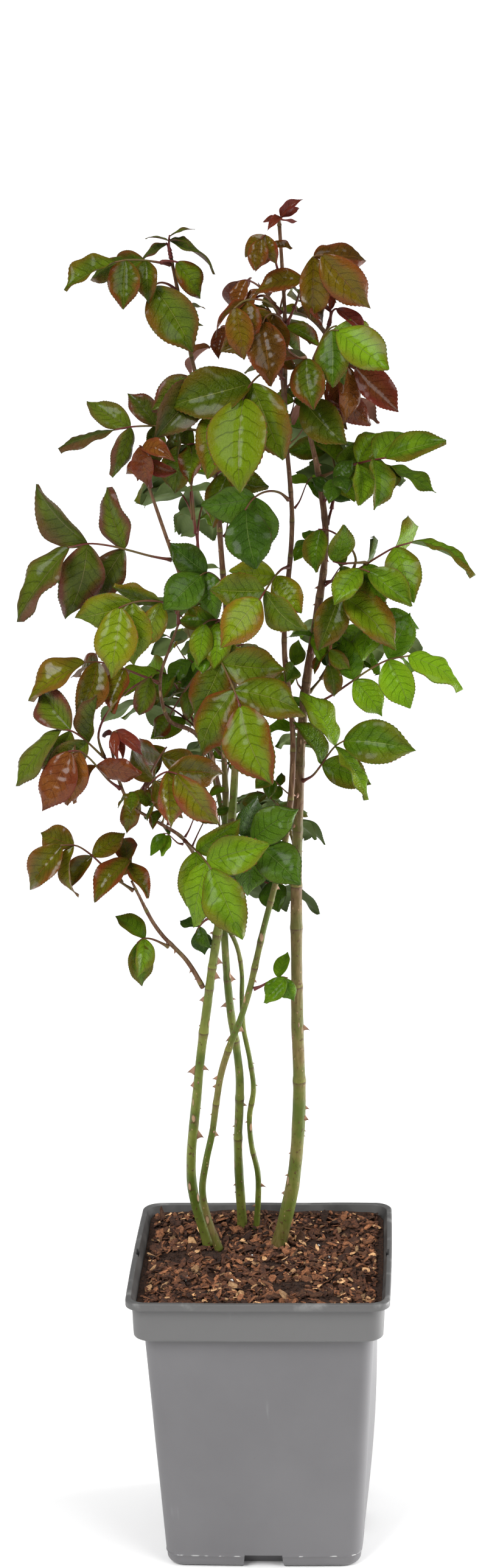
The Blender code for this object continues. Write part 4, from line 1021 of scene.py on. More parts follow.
def buildStalks():
    # Tubes along the stalks' own curves. The radius runs evenly from foot to tip and swells at the
    # foot by an exponential of the distance from it.
    lines, sizes = [], []
    for plan, size in ((grown, 1.0), (young, youngForm["stalk"])):
        for leaves in plan.values():
            lines += [leaf[0] for leaf in leaves]
            sizes += [size] * len(leaves)
    paths = np.array([smoothPath(line, stalkForm["points"]) for line in lines])
    share = np.linspace(0, 1, stalkForm["points"])
    radii = growth["stalkRadius"] + (growth["stalkTipRadius"] - growth["stalkRadius"]) * share
    steps = np.linalg.norm(paths[:, -1] - paths[:, 0], axis=1)[:, None] * share
    radii = radii * (1 + stalkForm["swelling"] * np.exp(-steps / stalkForm["swellingLength"]))
    radii = radii * np.array(sizes)[:, None]
    vertices = sweep(paths, radii, stalkForm["sides"])
    piece = addPiece("leafStalks", vertices.reshape(-1, 3),
                     tubeFaces(len(lines), stalkForm["points"], stalkForm["sides"]), [stalkMaterial()])
    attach(piece, "root")
    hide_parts(*grown)
    print("stalks", len(lines))


buildStalks()

# Canes and side shoots: fine rings with ridges, a slightly raised node every few centimetres, and a
# ripeness that runs from green bark at 0 to purple-brown at 1.
barkForm = {"step": 0.0016, "sides": 24, "ridge": 0.035, "nodeHeight": 0.00045, "nodeLength": 0.0034}

# Ripeness at shares of each limb's length.
ripeness = {
    "cane_left": ((0, 0.02), (0.40, 0.10), (0.62, 0.75), (1, 1.0)),
    "cane_middle": ((0, 0.45), (0.35, 0.40), (0.55, 0.75), (1, 0.9)),
    "cane_back": ((0, 0.08), (0.45, 0.20), (0.65, 0.60), (1, 0.9)),
    "cane_thin": ((0, 0.02), (0.40, 0.15), (0.70, 0.70), (1, 0.9)),
    "cane_main": ((0, 0.62), (0.05, 0.36), (0.12, 0.42), (0.45, 0.55), (0.62, 0.75), (0.78, 0.95),
                  (1, 0.8)),
    "shoot_left": ((0, 0.7), (1, 1.0)),
    "shoot_low_left": ((0, 0.7), (1, 0.9)),
    "shoot_back": ((0, 0.4), (1, 0.8)),
}


bareTo = 0.52  # height up to which the canes are bare
# Heights of the nodes seen low on the bare canes.
seenNodes = {
    "cane_left": (0.488, 0.425),
    "cane_middle": (0.415, 0.361),
    "cane_back": (0.467, 0.405, 0.347, 0.307),
    "cane_thin": (0.490, 0.381, 0.346, 0.295),
    "cane_main": (0.465, 0.375),
}


def shareAtHeight(limb, height):
    # how far along a rising limb the given height lies
    return float(np.interp(height, limb["path"][:, 2], np.linspace(0, 1, len(limb["path"]))))


def nodeShares(name):
    # where sprays and shoots leave a limb, and a bud or scar between them where it is bare
    limb = limbs[name]
    taken = [row["at"] for row in sprays.values() if row["limb"] == name]
    taken += [row[1] for row in shoots.values() if row[0] == name]
    taken += [shareAtHeight(limb, height) for height in seenNodes.get(name, ())]
    dice = random.Random(name + " nodes")
    share = shareAtHeight(limb, bareTo) if name in seenNodes else dice.uniform(0.02, 0.05)
    while share < 0.98:
        if all(abs(share - other) * limb["length"] > 0.020 for other in taken):
            taken.append(share)
        share += dice.uniform(0.030, 0.055) / limb["length"]
    return np.array(sorted(taken))


def finePath(limb):
    # the limb's path in steps fine enough for its bark, and the share of the length at each
    count = int(limb["length"] / barkForm["step"]) + 2
    return smoothPath(limb["path"], count), np.linspace(0, 1, count)


# Plain colours of the bark, from green to ripe, of the marks about a node and of its scars.
barkTints = {
    "green": ((0.072, 0.104, 0.011), (0.165, 0.185, 0.034)),
    "brown": ((0.095, 0.038, 0.018), (0.200, 0.112, 0.060)),
    "collar": (0.190, 0.210, 0.035), "line": (0.055, 0.028, 0.012), "below": (0.120, 0.070, 0.035),
    "specks": (0.090, 0.040, 0.018), "worn": (0.170, 0.105, 0.055), "spots": (0.380, 0.230, 0.125),
    "scarEdge": (0.085, 0.045, 0.018), "scar": ((0.260, 0.140, 0.075), (0.480, 0.310, 0.190)),
}


def barkMaterial():
    # green to brown by ripeness, with marks about each node, specks, worn streaks, spots and scars
    made, n, shader = newMaterial("caneBark", 0.5, Specular_IOR_Level=0.2)
    where = n.place()
    ripe, above = n.value("ripeness"), n.value("aboveNode")
    long = n.place((1, 1, 0.22))
    streaks = n.noise(long, 420.0, 4.0)
    patches = n.noise(where, 26.0, 4.0)
    green = n.mix(n.between(patches, 0.35, 0.65), *barkTints["green"])
    brown = n.mix(n.between(streaks, 0.35, 0.7), *barkTints["brown"])
    wavering = n.calc("ADD", ripe, n.fused(patches, 0.9, -0.45))
    bark = n.mix(n.between(wavering, 0.25, 0.80), green, brown)
    collar = n.times(n.between(above, 4.5, 0.3), n.between(above, -0.4, 0.2))
    bark = n.mix(n.times(collar, n.between(patches, 0.42, 0.62, 0.0, 0.5)), bark, barkTints["collar"])
    line = n.between(n.calc("ABSOLUTE", n.calc("ADD", above, 0.7)), 0.9, 0.3)
    bark = n.mix(n.times(line, n.between(streaks, 0.25, 0.65)), bark, barkTints["line"])
    below = n.times(n.between(above, -6.0, -1.0), n.between(above, 0.0, -1.0))
    bark = n.mix(n.times(n.times(below, streaks), 0.9), bark, barkTints["below"])
    specks = n.between(n.noise(where, 330.0, 3.0), 0.60, 0.67)
    bark = n.mix(n.times(specks, 0.75), bark, barkTints["specks"])
    worn = n.times(n.between(n.noise(long, 120.0, 3.0), 0.60, 0.72), 0.5)
    bark = n.mix(worn, bark, barkTints["worn"])
    dots = n.add("ShaderNodeTexVoronoi", {"Vector": n.place((1, 1, 0.6)), "Scale": 230.0}).outputs
    kept = n.between(n.add("ShaderNodeSeparateColor", {0: dots["Color"]}).outputs[1], 0.45, 0.55)
    spots = n.times(n.between(dots["Distance"], 0.15, 0.08), kept)
    bark = n.mix(n.times(spots, 0.7), bark, barkTints["spots"])
    scar = n.add("ShaderNodeTexVoronoi", {"Vector": n.place((1, 1, 0.4)), "Scale": 125.0}).outputs
    chosen = n.between(n.add("ShaderNodeSeparateColor", {0: scar["Color"]}).outputs[0], 0.60, 0.65)
    edge = n.times(n.between(scar["Distance"], 0.31, 0.23), chosen)
    oval = n.times(n.between(scar["Distance"], 0.22, 0.16), chosen)
    bark = n.mix(n.times(n.times(edge, streaks), 0.8), bark, barkTints["scarEdge"])
    bark = n.mix(oval, bark, n.mix(streaks, *barkTints["scar"]))
    n.put(shader["Base Color"], bark)
    dull = n.fused(ripe, 0.18, 0.24)
    n.put(shader["Roughness"], n.fused(streaks, 0.35, dull))
    rough = n.fused(streaks, 0.8, n.times(specks, 0.5))
    rough = n.fused(edge, 0.8, n.fused(patches, 1.5, rough))
    n.put(shader["Normal"], bump(n, rough, 0.6, 0.0008))
    return made


def buildCanes():
    # Tubes along the limbs. The radius is the limb's own times sine ridges that wind with the
    # distance and a slow lumpiness, plus a bell curve of the distance from every node.
    vertices, faceSets, ripe, above, total = [], [], [], [], 0
    for name, limb in limbs.items():
        path, share = finePath(limb)
        distance = share[:, None] * limb["length"]
        angles = np.arange(barkForm["sides"]) * 2 * math.pi / barkForm["sides"]
        radius = limbRadius(limb, share)[:, None]
        ridges = np.sin(3 * angles + 9 * distance) + 0.7 * np.sin(5 * angles - 14 * distance + 1)
        lumps = ripple(np.stack((path[:, 0] * 0 + len(name), distance[:, 0], share * 0), -1), 0.035, 3)
        radius = radius * (1 + barkForm["ridge"] * ridges + 0.075 * lumps[:, None])
        away = (share[:, None] - nodeShares(name)[None]) * limb["length"]
        raised = np.exp(-(away / barkForm["nodeLength"]) ** 2).sum(1)
        size = np.clip(radius / 0.004, 0.35, 1.3)
        radius = radius + barkForm["nodeHeight"] * raised[:, None] * size
        made = sweep(path[None], radius[None], barkForm["sides"]).reshape(-1, 3)
        stops, amounts = zip(*ripeness[name])
        vertices.append(made)
        for faces, number in tubeFaces(1, len(path), barkForm["sides"]):
            faceSets.append((faces + total, number))
        ripe.append(np.repeat(np.interp(share, stops, amounts), barkForm["sides"]))
        nearest = np.take_along_axis(away, np.abs(away).argmin(1)[:, None], 1)[:, 0] * 1000
        above.append(np.repeat(nearest, barkForm["sides"]))
        total += len(made)
    piece = addPiece("canes", np.vstack(vertices), faceSets, [barkMaterial()],
                     values={"ripeness": np.concatenate(ripe), "aboveNode": np.concatenate(above)})
    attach(piece, "root")
    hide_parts(*limbs)
    print("canes", len(limbs), "limbs", len(piece.data.polygons), "faces")


buildCanes()

# Thorns: broad triangles at the foot, hooked downwards, and flat tan scars where some fell off.
# Each is (height, way round from the right in degrees, reach in mm, length of the foot in mm).
thornForm = {"rings": 7, "sides": 9, "breadth": 0.0030, "hook": 0.42, "sunk": 0.0008,
             "reach": (1.2, 5.0), "spacing": (0.008, 0.024), "behind": (35, 145)}
seenThorns = {
    "cane_left": ((0.513, 15, 5.6, 9.5), (0.500, -5, 4.8, 10), (0.477, 185, 3.6, 8), (0.414, -10, 5.2, 6),
                  (0.410, 178, 6.2, 11), (0.397, 190, 2.6, 9), (0.350, -2, 5.6, 11), (0.452, 170, 1.2, 5),
                  (0.375, 5, 1.2, 3), (0.401, -90, 0.6, 8), (0.308, 230, 0.6, 5), (0.272, 0, 3.0, 6)),
    "cane_middle": ((0.458, -5, 5.0, 8), (0.409, 182, 4.2, 6), (0.401, 178, 3.2, 6), (0.356, 5, 3.6, 7),
                    (0.503, -10, 2.4, 5), (0.492, -100, 0.6, 8), (0.482, -60, 0.6, 6), (0.409, -85, 0.6, 5),
                    (0.348, -95, 0.6, 7), (0.359, -60, 0.7, 6), (0.320, -100, 0.6, 4),
                    (0.374, 175, 1.5, 3)),
    "cane_back": ((0.461, 178, 5.6, 6), (0.429, 185, 5.0, 8), (0.486, 5, 4.2, 10), (0.466, 10, 3.0, 3),
                  (0.365, 8, 3.4, 5), (0.344, 175, 2.4, 3), (0.288, 190, 2.4, 4), (0.456, -100, 0.7, 8),
                  (0.398, -85, 0.7, 8), (0.292, -60, 0.8, 7), (0.336, 185, 1.6, 3)),
    "cane_thin": ((0.384, 0, 2.2, 3), (0.288, -5, 5.6, 5), (0.268, 190, 3.6, 4), (0.404, 5, 2.2, 2),
                  (0.349, 182, 2.6, 3), (0.292, -90, 0.6, 4)),
    "cane_main": ((0.448, -4, 5.8, 7.5), (0.374, 5, 4.0, 6), (0.365, -12, 3.8, 9), (0.353, 0, 1.8, 3),
                  (0.348, 5, 1.5, 3), (0.310, 178, 2.8, 3), (0.452, -75, 0.8, 12), (0.440, -140, 0.8, 10),
                  (0.466, -40, 0.8, 5), (0.365, -30, 0.9, 9), (0.331, 182, 1.6, 3)),
}


def thornMaterial():
    # tan when ripe and red when young, darker at its foot and its tip
    made, n, shader = newMaterial("thorn", 0.5, Specular_IOR_Level=0.3)
    grain = n.noise(n.place(), 300.0)
    ripe = n.mix(grain, (0.170, 0.080, 0.042), (0.420, 0.250, 0.150))
    young = n.mix(grain, (0.250, 0.055, 0.040), (0.280, 0.140, 0.080))
    tint = n.mix(n.value("young"), ripe, young)
    tint = n.mix(n.between(n.value("outward"), 0.45, 1.0), tint, (0.110, 0.045, 0.026))
    tint = n.mix(n.between(n.value("outward"), 0.14, 0.0), tint, (0.120, 0.060, 0.030))
    n.put(shader["Base Color"], tint)
    n.put(shader["Normal"], bump(n, n.noise(n.place(), 700.0), 0.4, 0.0004))
    return made


def thornRows(name, limb, dice):
    # the seen ones, then random ones: above the bare foot all round, on it only behind
    rows = [(shareAtHeight(limb, height), *rest) for height, *rest in seenThorns.get(name, ())]
    bare = shareAtHeight(limb, bareTo) if rows else 0
    place = dice.uniform(0.01, 0.02)
    while place < limb["length"] * 0.97:
        share = place / limb["length"]
        size = np.clip(limbRadius(limb, share) / 0.0040, 0.35, 1.0) * dice.uniform(*thornForm["reach"])
        turn = dice.uniform(0, 360) if share > bare else dice.uniform(*thornForm["behind"])
        rows.append((share, turn, float(size), float(size) * dice.uniform(1.2, 1.9)))
        place += dice.uniform(*thornForm["spacing"]) * (2.2 if share < bare else 1)
    return rows


def buildThorns():
    # A thorn's rings run from the foot t = 0 to the tip t = 1, outwards by t times the reach and
    # downwards by its square, and shrink by (1 - t) to the power of 1.35.
    dice = np.random.default_rng(11)
    feet, outs, alongs, sizes, young = [], [], [], [], []
    for name, limb in limbs.items():
        for share, turn, reach, foot in thornRows(name, limb, dice):
            point, along, radius = pointOn(limb, share)
            angle = math.radians(turn)
            out = unit(across(np.array((math.cos(angle), math.sin(angle), 0.0)), along))
            feet.append(point + out * (radius - thornForm["sunk"]))
            outs.append(out)
            alongs.append(along)
            sizes.append((reach / 1000 + thornForm["sunk"], foot / 2000, thornForm["breadth"] / 2
                          * np.clip(foot / 6, 0.4, 1.1)))
            young.append(np.clip(share * 1.4 - 0.4, 0, 1))
    feet, outs, alongs = (np.array(a)[:, None, None] for a in (feet, outs, alongs))
    reach, foot, breadth = np.array(sizes).T[:, :, None, None, None]
    t = np.linspace(0, 1, thornForm["rings"])[None, :, None, None]
    angles = (np.arange(thornForm["sides"]) * 2 * math.pi / thornForm["sides"])[None, None, :, None]
    thin = (1 - t) ** 1.35 + 0.02
    centre = outs * t * reach - alongs * (thornForm["hook"] * reach * t**2)
    sideways = np.cross(alongs, outs)
    vertices = feet + centre + (alongs * np.cos(angles) * foot + sideways * np.sin(angles) * breadth) * thin
    count = len(vertices)
    perThorn = thornForm["rings"] * thornForm["sides"]
    faceSets = [(faces[:, ::-1], number) for faces, number in
                tubeFaces(count, thornForm["rings"], thornForm["sides"])]
    outward = np.tile(np.repeat(t.ravel(), thornForm["sides"]), count)
    piece = addPiece("thorns", vertices.reshape(-1, 3), faceSets, [thornMaterial()],
                     values={"young": np.repeat(young, perThorn), "outward": outward})
    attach(piece, "root")
    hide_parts(*limbs)
    print("thorns", count)


buildThorns()

# The pot, in the same sizes as its solid, with round edges, a parting line and a wavy lip.
potForm = {
    "width": 0.2205, "height": 0.256, "wall": 0.0022, "floor": 0.016,
    "collarHeight": 0.0375, "collarWidth": 0.2090, "bodyTop": 0.1925, "bodyFoot": 0.1660,
    "lipHeight": 0.007, "lipOverhang": 0.005, "lipTop": 0.0046, "corner": 0.014, "footRound": 0.007,
    "collarRound": 0.0030, "lipUnderRound": 0.0012, "lipRound": 0.0018, "lipInnerRound": 0.0015,
    "bow": 0.0008, "bulge": 0.0050, "seam": 0.0118, "seamProud": 0.0003,
    "notchWidth": 0.0345, "notchHeight": 0.013, "notchDepth": 0.012, "notchSlope": 0.10,
    "slotLength": 0.013, "slotWidth": 0.0026, "slotDepth": 0.006,
    "arcSteps": 10, "sideSteps": 26,
}


def squareRings(rows):
    # squares with round corners and bowed sides: rows of height, half width, corner radius, bow
    height, half, corner, bow = (np.array(column)[:, None] for column in zip(*rows))
    arcs = np.linspace(0, math.pi / 2, potForm["arcSteps"] + 1)[None]
    share = (2 * np.arange(1, potForm["sideSteps"]) / potForm["sideSteps"] - 1)[None]
    parts = []
    for quarter in range(4):
        start = quarter * math.pi / 2
        centre = (half - corner) * math.sqrt(2)
        x = centre * math.cos(start + math.pi / 4) + corner * np.cos(start + arcs)
        y = centre * math.sin(start + math.pi / 4) + corner * np.sin(start + arcs)
        parts.append(np.stack((x, y), -1))
        out = start + math.pi / 2
        away, beside = half + bow * (1 - share**2), (half - corner) * share
        parts.append(np.stack((math.cos(out) * away - math.sin(out) * beside,
                               math.sin(out) * away + math.cos(out) * beside), -1))
    flat = np.concatenate(parts, 1)
    heights = np.broadcast_to(height[:, None], (*flat.shape[:2], 1))
    return np.concatenate((flat, heights), -1)


def bodyRow(height, inset=0.0, corner=potForm["corner"]):
    # the tapering body's row at a height; its sides bulge by a parabola, most at half height
    share = height / (potForm["height"] - potForm["collarHeight"])
    half = (potForm["bodyFoot"] + share * (potForm["bodyTop"] - potForm["bodyFoot"])) / 2
    return height, half - inset, corner, potForm["bow"] + potForm["bulge"] * 4 * share * (1 - share)


def rounded(height, half, radius, fromAngle, toAngle, steps=5):
    # rows of an edge rounded about the point (half, height), angles from straight out
    angles = np.radians(np.linspace(fromAngle, toAngle, steps))
    return [(height + radius * math.sin(a), half + radius * math.cos(a), potForm["corner"],
             potForm["bow"]) for a in angles]


potInsideRows = 7  # the last of the rows below, down the inner walls


def potRows():
    # the pot's profile from the middle of its foot up the outside, over the lip and down inside
    form = potForm
    collarFoot, lipFoot = form["height"] - form["collarHeight"], form["height"] - form["lipHeight"]
    lip, collarLow = form["width"] / 2, form["collarWidth"] / 2
    collarTop = lip - form["lipOverhang"]
    corners = (form["corner"], form["bow"])
    rows = []
    for step in range(9):
        angle = step * math.pi / 16
        inset = form["footRound"] * (1 - math.sin(angle)) + 0.0004 * math.sin(angle)
        rows.append(bodyRow(form["footRound"] * (1 - math.cos(angle)), inset, form["corner"] - inset / 2))
    seam = form["seam"]
    rows += [bodyRow(seam - 0.0012, 0.0004), bodyRow(seam - 0.0004, -0.0001),
             bodyRow(seam, -form["seamProud"]), bodyRow(seam + 0.0005, 0.0)]
    rows += [bodyRow(seam + (collarFoot - 0.002 - seam) * share) for share in np.linspace(0.02, 1, 16)]
    rows += [bodyRow(collarFoot - 0.0006, -0.0004), bodyRow(collarFoot - 0.0001, -0.0016)]
    radius = form["collarRound"]
    rows += rounded(collarFoot + radius, collarLow - radius, radius, -88, 0, 7)
    rows += [(collarFoot + (lipFoot - collarFoot) * share, collarLow + (collarTop - collarLow) * share,
              *corners) for share in (0.3, 0.5, 0.75, 0.93)]
    rows += [(lipFoot - 0.0004, collarTop + 0.0005, *corners)]
    radius = form["lipUnderRound"]
    rows += rounded(lipFoot + radius, lip - radius, radius, -85, 0, 4)
    radius = form["lipRound"]
    rows += rounded(form["height"] - radius, lip - radius, radius, 0, 88, 6)
    radius = form["lipInnerRound"]
    rows += rounded(form["height"] - radius, lip - form["lipTop"] + radius, radius, 92, 172, 6)
    rows += [(form["height"] - 0.0075, collarTop - form["wall"], *corners),
             (collarFoot + 0.001, collarLow - form["wall"], *corners),
             (*bodyRow(collarFoot - 0.002, form["wall"])[:3], form["bow"]),
             (*bodyRow(form["floor"] + 0.002, form["wall"])[:3], form["bow"]),
             (*bodyRow(form["floor"], form["wall"] + 0.002)[:3], form["bow"])]
    return rows


# the six faces of a box whose corners run through x, then y, then z
boxFaces = np.array([(0, 1, 3, 2), (4, 6, 7, 5), (0, 4, 5, 1), (2, 3, 7, 6), (0, 2, 6, 4), (1, 5, 7, 3)])


def block(name, x, y, z, turn=0.0, lean=0.0):
    # a six-sided cutter between the given pairs of x, y and z; lean narrows it upwards in y
    corners = np.array([(a, b - math.copysign(lean * (c - z[0]), b), c) for a in x for b in y for c in z])
    spin = np.array(((math.cos(turn), -math.sin(turn), 0), (math.sin(turn), math.cos(turn), 0), (0, 0, 1)))
    return addPiece(name, corners @ spin.T, [(boxFaces, 0)], [potMaterial], smooth=False)


def cutAway(piece, cutters):
    # cuts every cutter out of the piece, bakes the cuts into its mesh and removes the cutters
    for cutter in cutters:
        cut = piece.modifiers.new(cutter.name, "BOOLEAN")
        cut.operation, cut.solver, cut.object = "DIFFERENCE", "EXACT", cutter
    shown = piece.evaluated_get(bpy.context.evaluated_depsgraph_get())
    mesh = bpy.data.meshes.new_from_object(shown)
    piece.modifiers.clear()
    piece.data = mesh
    for cutter in cutters:
        bpy.data.objects.remove(cutter)


# Plain colours of the plastic, its collar and lip, what marks them, and its inner walls, which are darker
# partly from the mix's stain and partly from painted shade.
potTints = {
    "body": ((0.126, 0.123, 0.128), (0.144, 0.141, 0.146)), "collar": (0.122, 0.121, 0.120),
    "lip": (0.095, 0.094, 0.093), "streaks": (0.42, 0.43, 0.43), "rubbed": (0.38, 0.38, 0.37),
    "flash": (0.50, 0.50, 0.49), "dust": (0.10, 0.075, 0.055),
    # the inner walls' dark greys: partly the mix's stain, partly painted shade
    "inside": ((0.055, 0.053, 0.052), (0.092, 0.090, 0.088)),
}


def makePotMaterial():
    # cloudy dark grey, darker at collar and lip, with pale rubs, mould flash and a little dust
    made, n, shader = newMaterial("pot", 0.5)
    where = n.place()
    apart = n.add("ShaderNodeSeparateXYZ", {0: where}).outputs
    cloudy = n.noise(where, 9.0, 4.0)
    fine = n.noise(where, 1400.0, 2.0)
    grey = n.mix(n.between(cloudy, 0.3, 0.7), *potTints["body"])
    collar = n.between(apart[2], 0.212, 0.219)
    grey = n.mix(n.times(collar, 0.95), grey, potTints["collar"])
    grey = n.mix(n.between(apart[2], 0.2484, 0.2494, 0.0, 0.85), grey, potTints["lip"])
    upright = n.place((1, 1, 0.10))
    streaks = n.times(n.between(n.noise(upright, 95.0, 3.0), 0.64, 0.80),
                      n.between(n.noise(where, 14.0, 2.0), 0.52, 0.66))
    grey = n.mix(n.times(streaks, 0.45), grey, potTints["streaks"])
    rubbed = n.times(n.between(apart[2], 0.2478, 0.2552),
                     n.between(n.noise(where, 60.0, 4.0), 0.50, 0.70))
    grey = n.mix(n.times(rubbed, 0.35), grey, potTints["rubbed"])
    offSeam = n.calc("ABSOLUTE", n.calc("SUBTRACT", apart[2], potForm["seam"]))
    flash = n.times(n.between(offSeam, 0.0009, 0.0002),
                    n.between(n.noise(where, 120.0, 3.0), 0.56, 0.66))
    grey = n.mix(n.times(flash, 0.8), grey, potTints["flash"])
    dust = n.times(n.between(n.noise(where, 480.0, 3.0), 0.70, 0.78), 0.35)
    grey = n.mix(dust, grey, potTints["dust"])
    n.put(shader["Base Color"], grey)
    dull = n.fused(streaks, 0.2, 0.34)
    n.put(shader["Roughness"], n.fused(cloudy, 0.25, dull))
    n.put(shader["Normal"], bump(n, n.fused(fine, 0.5, cloudy), 0.12, 0.0008))
    return made


def makeStainAndShadeInsideMaterial():
    # the inner walls, dulled by damp mix; their darker grey is partly the mix's stain and partly painted
    # shade of the pot's hollow
    made, n, shader = newMaterial("potInsideStainAndShade", 0.6)
    stain = n.noise(n.place(), 40.0, 4.0)
    n.put(shader["Base Color"], n.mix(n.between(stain, 0.35, 0.7), *potTints["inside"]))
    return made


potMaterial, potInsideStainAndShade = makePotMaterial(), makeStainAndShadeInsideMaterial()


def buildPot():
    # the profile's rings as one skin, its lip a little wavy, with notches in the foot and two slots
    form = potForm
    rings = squareRings(potRows())
    count = rings.shape[1]
    lipShare = np.clip((rings[..., 2] - (form["height"] - 0.012)) / 0.008, 0, 1)
    rings[..., 2] -= 0.0005 * lipShare * (1 + ripple(rings * (1, 1, 0), 0.09, 5))
    faceSets = tubeFaces(1, len(rings), count)
    # the inner wall rows take the darker inside material, which is partly stain and partly painted shade
    outside = len(rings) - potInsideRows
    sort = (np.arange(len(faceSets[0][0])) // count >= outside).astype(int)
    faceSets[0] = (faceSets[0][0], sort)
    pot = addPiece("pot_shell", rings.reshape(-1, 3), faceSets, [potMaterial, potInsideStainAndShade])
    inner = form["bodyFoot"] / 2 - form["notchDepth"]
    half = form["notchWidth"] / 2
    cutters = [block("notch", (inner, form["width"] / 2), (-half - 0.0005, half + 0.0005),
                     (-0.005, form["notchHeight"]), side * math.pi / 2, form["notchSlope"])
               for side in range(4)]
    middle = form["width"] / 2 - 0.0030
    cutters += [block("slot", (middle - form["slotWidth"] / 2, middle + form["slotWidth"] / 2),
                      (-form["slotLength"] / 2, form["slotLength"] / 2),
                      (form["height"] - form["slotDepth"], form["height"] + 0.004), side * math.pi)
                for side in range(2)]
    cutAway(pot, cutters)
    pot.data.polygons.foreach_set("use_smooth", np.ones(len(pot.data.polygons), bool))
    pot.data.set_sharp_from_angle(angle=math.radians(40))
    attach(pot, "root")
    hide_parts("pot")
    print("pot", len(pot.data.polygons), "faces")


buildPot()

# The potting mix: a rough dark bed, bark chips of three browns, crumbs of peat, perlite.
# `peat` gives patches of bare dark peat: x, y and radius.
mixForm = {
    "top": 0.243, "drop": 0.004, "plateau": 0.075, "depth": 0.019, "half": 0.1026, "corner": 0.014,
    "relief": 0.0022, "step": 0.0016,
    "bank": (0.045, 0.008, 0.003),  # where it starts, its rise at the back wall and at every wall
    "chips": 4000, "chipLength": (0.0025, 0.0190), "chipThickness": (0.0004, 0.0016),
    "chipWidth": (0.28, 0.75), "chipBend": (-0.4, 0.6),  # shares of the length
    "chipTilt": 0.36, "kinds": (0.52, 0.39, 0.09),  # how many are dark, red and tan
    "lumps": {0: (2600, (0.0010, 0.0034)), 4: (9, (0.0025, 0.0050))},  # crumbs of the bed, perlite
    "peat": ((-0.076, 0.014, 0.022), (-0.045, 0.020, 0.018), (0.028, -0.050, 0.022), (0.010, 0.000, 0.014),
             (0.060, -0.075, 0.016), (-0.020, -0.085, 0.016), (0.045, 0.040, 0.016)),
}


def mixHeight(x, y):
    # level in the middle, lower at the front wall, banked up at the back, with hollows and heaps
    far = np.maximum(np.abs(x), np.abs(y))
    slope = np.clip((far - mixForm["plateau"]) / (mixForm["half"] - mixForm["plateau"]), 0, 1)
    place = np.stack((x, y, 0 * x), -1)
    rough = ripple(place, 0.045, 21) + 0.45 * ripple(place, 0.014, 22) + 0.2 * ripple(place, 0.006, 23)
    bank = np.clip((y - mixForm["bank"][0]) / (mixForm["half"] - mixForm["bank"][0]), 0, 1)
    bank = mixForm["bank"][1] * bank**1.5 + mixForm["bank"][2] * slope**2
    return mixForm["top"] - mixForm["drop"] * slope + bank + mixForm["relief"] * rough * (1 - 0.4 * slope)


# Plain colours of the bed and of each kind of chip, deep and light.
mixTints = {
    "bed": ((0.010, 0.004, 0.002), (0.075, 0.028, 0.012)),
    "chipDark": ((0.026, 0.009, 0.004), (0.120, 0.042, 0.018)),
    "chipRed": ((0.100, 0.034, 0.013), (0.280, 0.112, 0.046)),
    "chipTan": ((0.300, 0.145, 0.055), (0.660, 0.400, 0.200)),
    "perlite": ((0.60, 0.58, 0.54), (0.85, 0.84, 0.80)),
}


def mixMaterials():
    # the bed's material, then one for each kind of chip, lightened or darkened chip by chip
    made = []
    bed, n, shader = newMaterial("mixBed", 0.95)
    where = n.place()
    grain = n.noise(where, 520.0, 5.0, 0.7)
    n.put(shader["Base Color"], n.mix(n.between(grain, 0.3, 0.75), *mixTints["bed"]))
    n.put(shader["Normal"], bump(n, grain, 1.0, 0.0015))
    made.append(bed)
    for name in list(mixTints)[1:]:
        chip, n, shader = newMaterial(name, 0.85)
        grain = n.noise(n.place((1, 1, 2)), 420.0, 4.0, 0.65)
        shade = n.mix(n.between(grain, 0.30, 0.72), *mixTints[name])
        tone = n.fused(n.value("tone"), 1.30, 0.28)
        shaded = n.add("ShaderNodeVectorMath", {0: shade}, operation="SCALE")
        n.put(shaded.inputs["Scale"], tone)
        n.put(shader["Base Color"], shaded.outputs[0])
        n.put(shader["Normal"], bump(n, grain, 0.8, 0.0008))
        made.append(chip)
    return made


def scattered(count, margin, dice):
    # random places on the bed, clear of the walls by the margin
    limit = mixForm["half"] - margin
    x, y = dice.uniform(-limit, limit, (2, count))
    return x, y


def slabs(count, dice):
    # flat chips: an uneven six-sided outline, drawn out along one axis, as a thin slab, then
    # tilted a little, turned any way round and laid on the bed
    low, high = mixForm["chipLength"]
    length = low + (high - low) * dice.beta(1.25, 3.7, count)
    width = length * dice.uniform(*mixForm["chipWidth"], count)
    thick = dice.uniform(*mixForm["chipThickness"], count)
    angles = (np.arange(6) * math.pi / 3)[None] + dice.uniform(-0.35, 0.35, (count, 6))
    reach = dice.uniform(0.75, 1.1, (count, 6))
    flat = np.stack((np.cos(angles) * reach * length[:, None] / 2,
                     np.sin(angles) * reach * width[:, None] / 2), -1)
    top = np.concatenate((flat * 0.86, np.repeat(thick[:, None, None] / 2, 6, 1)), -1)
    bottom = np.concatenate((flat, np.repeat(-thick[:, None, None] / 2, 6, 1)), -1)
    points = np.concatenate((bottom, top), 1)
    bent = points[..., 0] ** 2 / length[:, None] * dice.uniform(*mixForm["chipBend"], (count, 1))
    points[..., 2] += bent
    x, y = scattered(count, 0.0012 + 0.42 * length, dice)
    for px, py, radius in mixForm["peat"]:
        away = np.hypot(x - px, y - py) / radius
        x, y = (np.where(away < 1, p + (q - p) / np.maximum(away, 0.05) ** 0.75, q)
                for p, q in ((px, x), (py, y)))
    x, y = np.clip((x, y), 0.006 - mixForm["half"], mixForm["half"] - 0.006)
    yaw = dice.uniform(0, 2 * math.pi, count)
    pitch, roll = dice.normal(0, mixForm["chipTilt"], (2, count))
    z = mixHeight(x, y) + thick * 0.4 + np.abs(np.sin(pitch)) * length * 0.30
    z = z + dice.uniform(0, 0.0016, count)
    return placed(points, np.stack((x, y, z), -1), yaw, pitch, roll)


